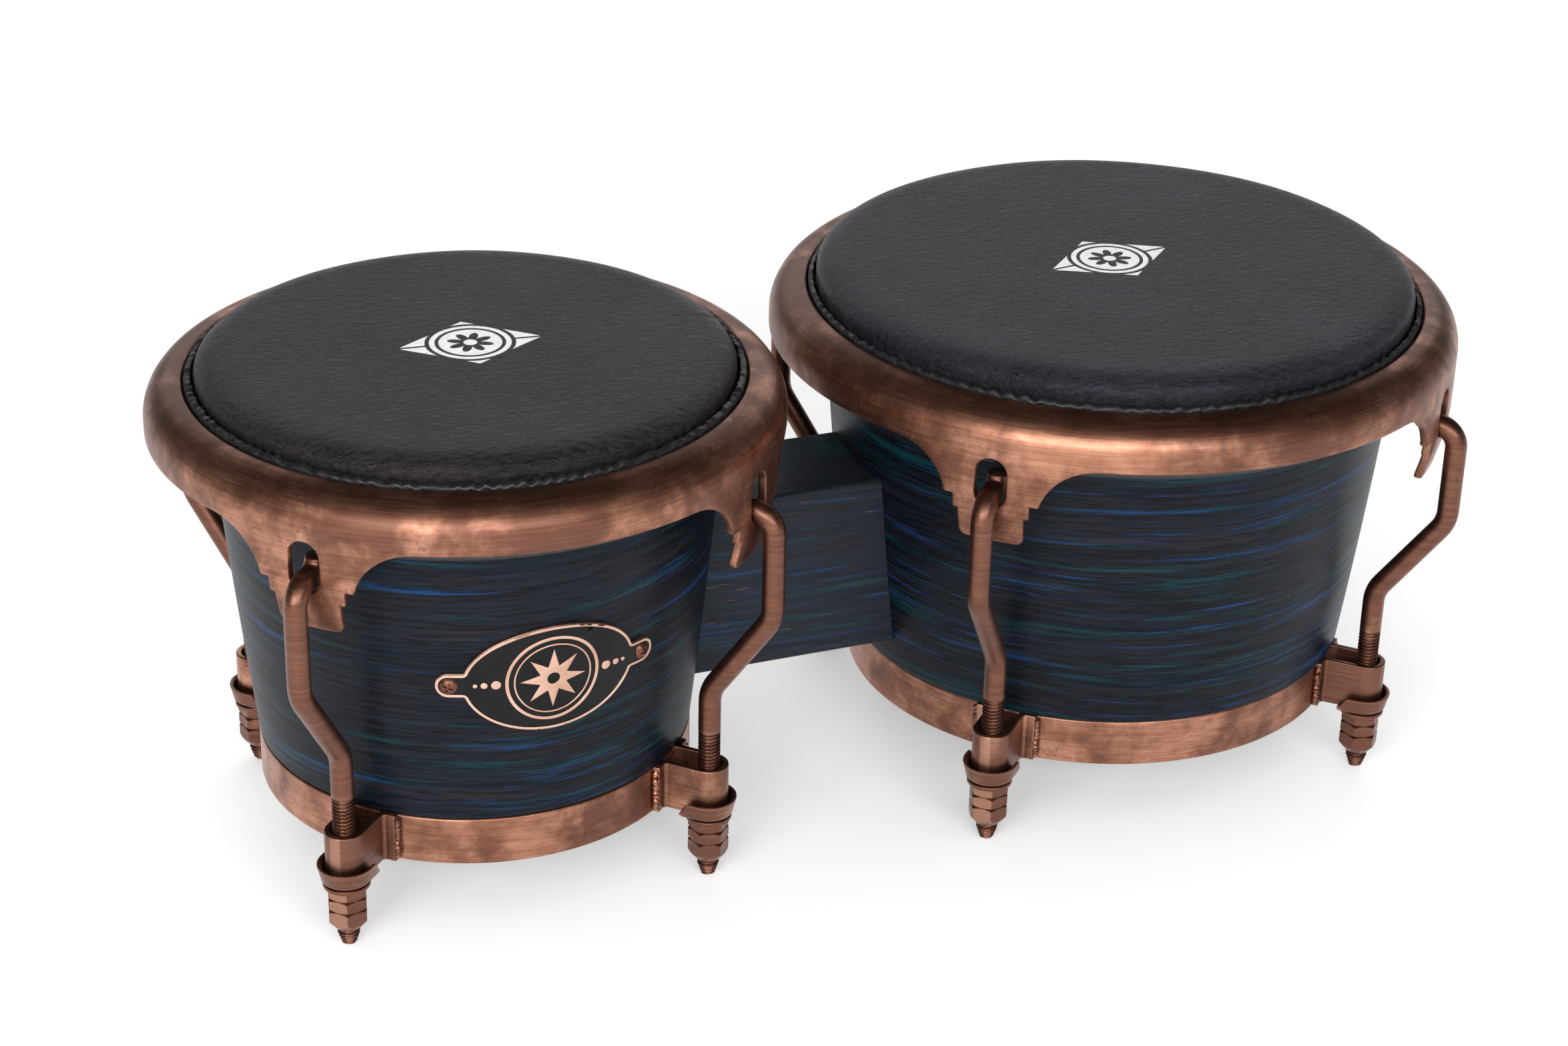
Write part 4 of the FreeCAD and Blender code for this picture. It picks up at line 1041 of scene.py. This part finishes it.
def build_pair():
    rod_metals = [copper(f"rod_copper_{i}", None, seed, 900, dark) for i, (seed, dark) in
                  enumerate(((0.11, 1.05), (0.37, 1.25), (0.73, 0.95), (1.3, 1.15)))]
    small_metals = [copper(f"hardware_copper_{i}", None, seed, 1300, dark) for i, (seed, dark) in
                    enumerate(((0.21, 0.95), (0.57, 1.15), (0.93, 0.8), (1.7, 1.05)))]
    wood = {"macho": stained_wood("macho_stain", 0.0), "hembra": stained_wood("hembra_stain", 0.8)}
    within = raw_wood("shell_inside")
    tuck = tuck_skin("tuck_skin")
    steel = plain_steel("plain_steel")
    rose, black = rose_metal("rose_gold"), enamel("black_enamel")
    for seed, drum in enumerate(DRUMS):
        centre = DRUMS[drum]["x"]
        make_shell(drum, wood[drum], within)
        make_band(drum, copper(f"{drum}_band_copper", centre, 0.4 + seed, 1200, 0.3))
        make_head(drum, 30 + seed, drumhead(f"{drum}_head_black", drum, drum == "macho"), tuck)
        make_rim(drum, copper(f"{drum}_rim_copper", centre, 2.4 + seed, 1400, 0.5))
        for number in range(1, 5):
            pick = (number + seed * 2) % 4
            make_hook(drum, number, rod_metals[pick])
            make_nut(drum, number, small_metals[pick])
            make_saddle(drum, number, small_metals[(pick + 1) % 4])
            make_bracket(drum, number, small_metals[(pick + 2) % 4])
    make_block(stained_wood("block_stain", 1.9, 0.9, 0.28))
    make_badge(rose, black)
    make_badge_screws(small_metals[0])
    for node in ("macho_flesh_hoop", "hembra_flesh_hoop", "block_bolts", "block_washers"):
        for material_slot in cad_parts[node].material_slots:
            material_slot.material = steel


# ---------------------------------------------------------------- camera, floor and light

def add_camera():
    """Three-quarter view from 22 degrees to the left and 27 degrees up, with a slight roll."""
    azimuth, elevation, roll = math.radians(-22.01), math.radians(26.77), math.radians(1.35)
    target = Vector((119.54, 0.04, 100.54)) * MM + Vector((DRUMS["macho"]["x"] * MM, 0, 0))
    back = Vector((math.sin(azimuth) * math.cos(elevation), -math.cos(azimuth) * math.cos(elevation),
                   math.sin(elevation)))
    right = (-back).cross(Vector((0, 0, 1))).normalized()
    up = right.cross(-back)
    rolled_right = right * math.cos(roll) + up * math.sin(roll)
    rolled_up = up * math.cos(roll) - right * math.sin(roll)
    data = bpy.data.cameras.new("camera")
    data.sensor_width = 36
    data.lens = 74.67
    data.clip_start = 0.05
    camera = bpy.data.objects.new("camera", data)
    bpy.context.scene.collection.objects.link(camera)
    turn = Matrix((rolled_right, rolled_up, back)).transposed().to_4x4()
    camera.matrix_world = Matrix.Translation(target + back * 1.20118) @ turn
    bpy.context.scene.camera = camera


def add_floor():
    mesh = bpy.data.meshes.new("floor")
    mesh.from_pydata([(-6, -6, 0), (6, -6, 0), (6, 6, 0), (-6, 6, 0)], [], [(0, 1, 2, 3)])
    floor = bpy.data.objects.new("floor", mesh)
    bpy.context.scene.collection.objects.link(floor)
    shader = Shader("pale_floor")
    grain = shader.noise(shader.place, 60, 2, 0.5)
    shader.set(Base_Color=shader.mix(grain, (0.90, 0.90, 0.90), (0.93, 0.93, 0.93)), Roughness=0.7,
               Emission_Color=(1, 1, 1, 1), Emission_Strength=0.25)
    mesh.materials.append(shader.material)


def add_softbox(name, place, target, size, watts):
    data = bpy.data.lights.new(name, "AREA")
    data.shape = "RECTANGLE"
    data.size, data.size_y = size
    data.energy = watts
    light = bpy.data.objects.new(name, data)
    bpy.context.scene.collection.objects.link(light)
    light.location = place
    light.rotation_euler = (Vector(target) - Vector(place)).to_track_quat("-Z", "Y").to_euler()


def add_light():
    """A wide bank and a key in front, and a softbox behind. In reflections the world is dark overhead
    and paler near the horizon."""
    add_softbox("front_bank", (-0.40, -1.85, 0.95), (0, 0, 0.12), (2.2, 0.45), 30)
    add_softbox("front_left", (-0.95, -0.85, 0.62), (-0.05, 0, 0.12), (0.60, 0.45), 6)
    add_softbox("back", (0.60, 1.75, 0.95), (0, 0, 0.15), (2.8, 0.8), 9)
    world = bpy.data.worlds.new("studio")
    bpy.context.scene.world = world
    world.use_nodes = True
    tree = world.node_tree
    background = tree.nodes["Background"]
    coordinate = tree.nodes.new("ShaderNodeTexCoord")
    height = tree.nodes.new("ShaderNodeSeparateXYZ")
    tree.links.new(coordinate.outputs["Generated"], height.inputs[0])
    ramp = tree.nodes.new("ShaderNodeValToRGB")
    tree.links.new(height.outputs[2], ramp.inputs[0])
    ramp.color_ramp.elements[0].position = 0.0
    ramp.color_ramp.elements[0].color = (0.20, 0.20, 0.21, 1)
    ramp.color_ramp.elements[1].position = 0.75
    ramp.color_ramp.elements[1].color = (0.01, 0.01, 0.01, 1)
    rays = tree.nodes.new("ShaderNodeLightPath")
    mix = tree.nodes.new("ShaderNodeMix")
    mix.data_type = "RGBA"
    tree.links.new(rays.outputs["Is Glossy Ray"], mix.inputs["Factor"])
    mix.inputs["A"].default_value = (0.66, 0.66, 0.67, 1)
    tree.links.new(ramp.outputs[0], mix.inputs["B"])
    tree.links.new(mix.outputs["Result"], background.inputs["Color"])
    background.inputs["Strength"].default_value = 1.0
    view = bpy.context.scene.view_settings
    view.view_transform = "Standard"
    view.exposure = 0.0


add_camera()
add_floor()
add_light()
build_pair()
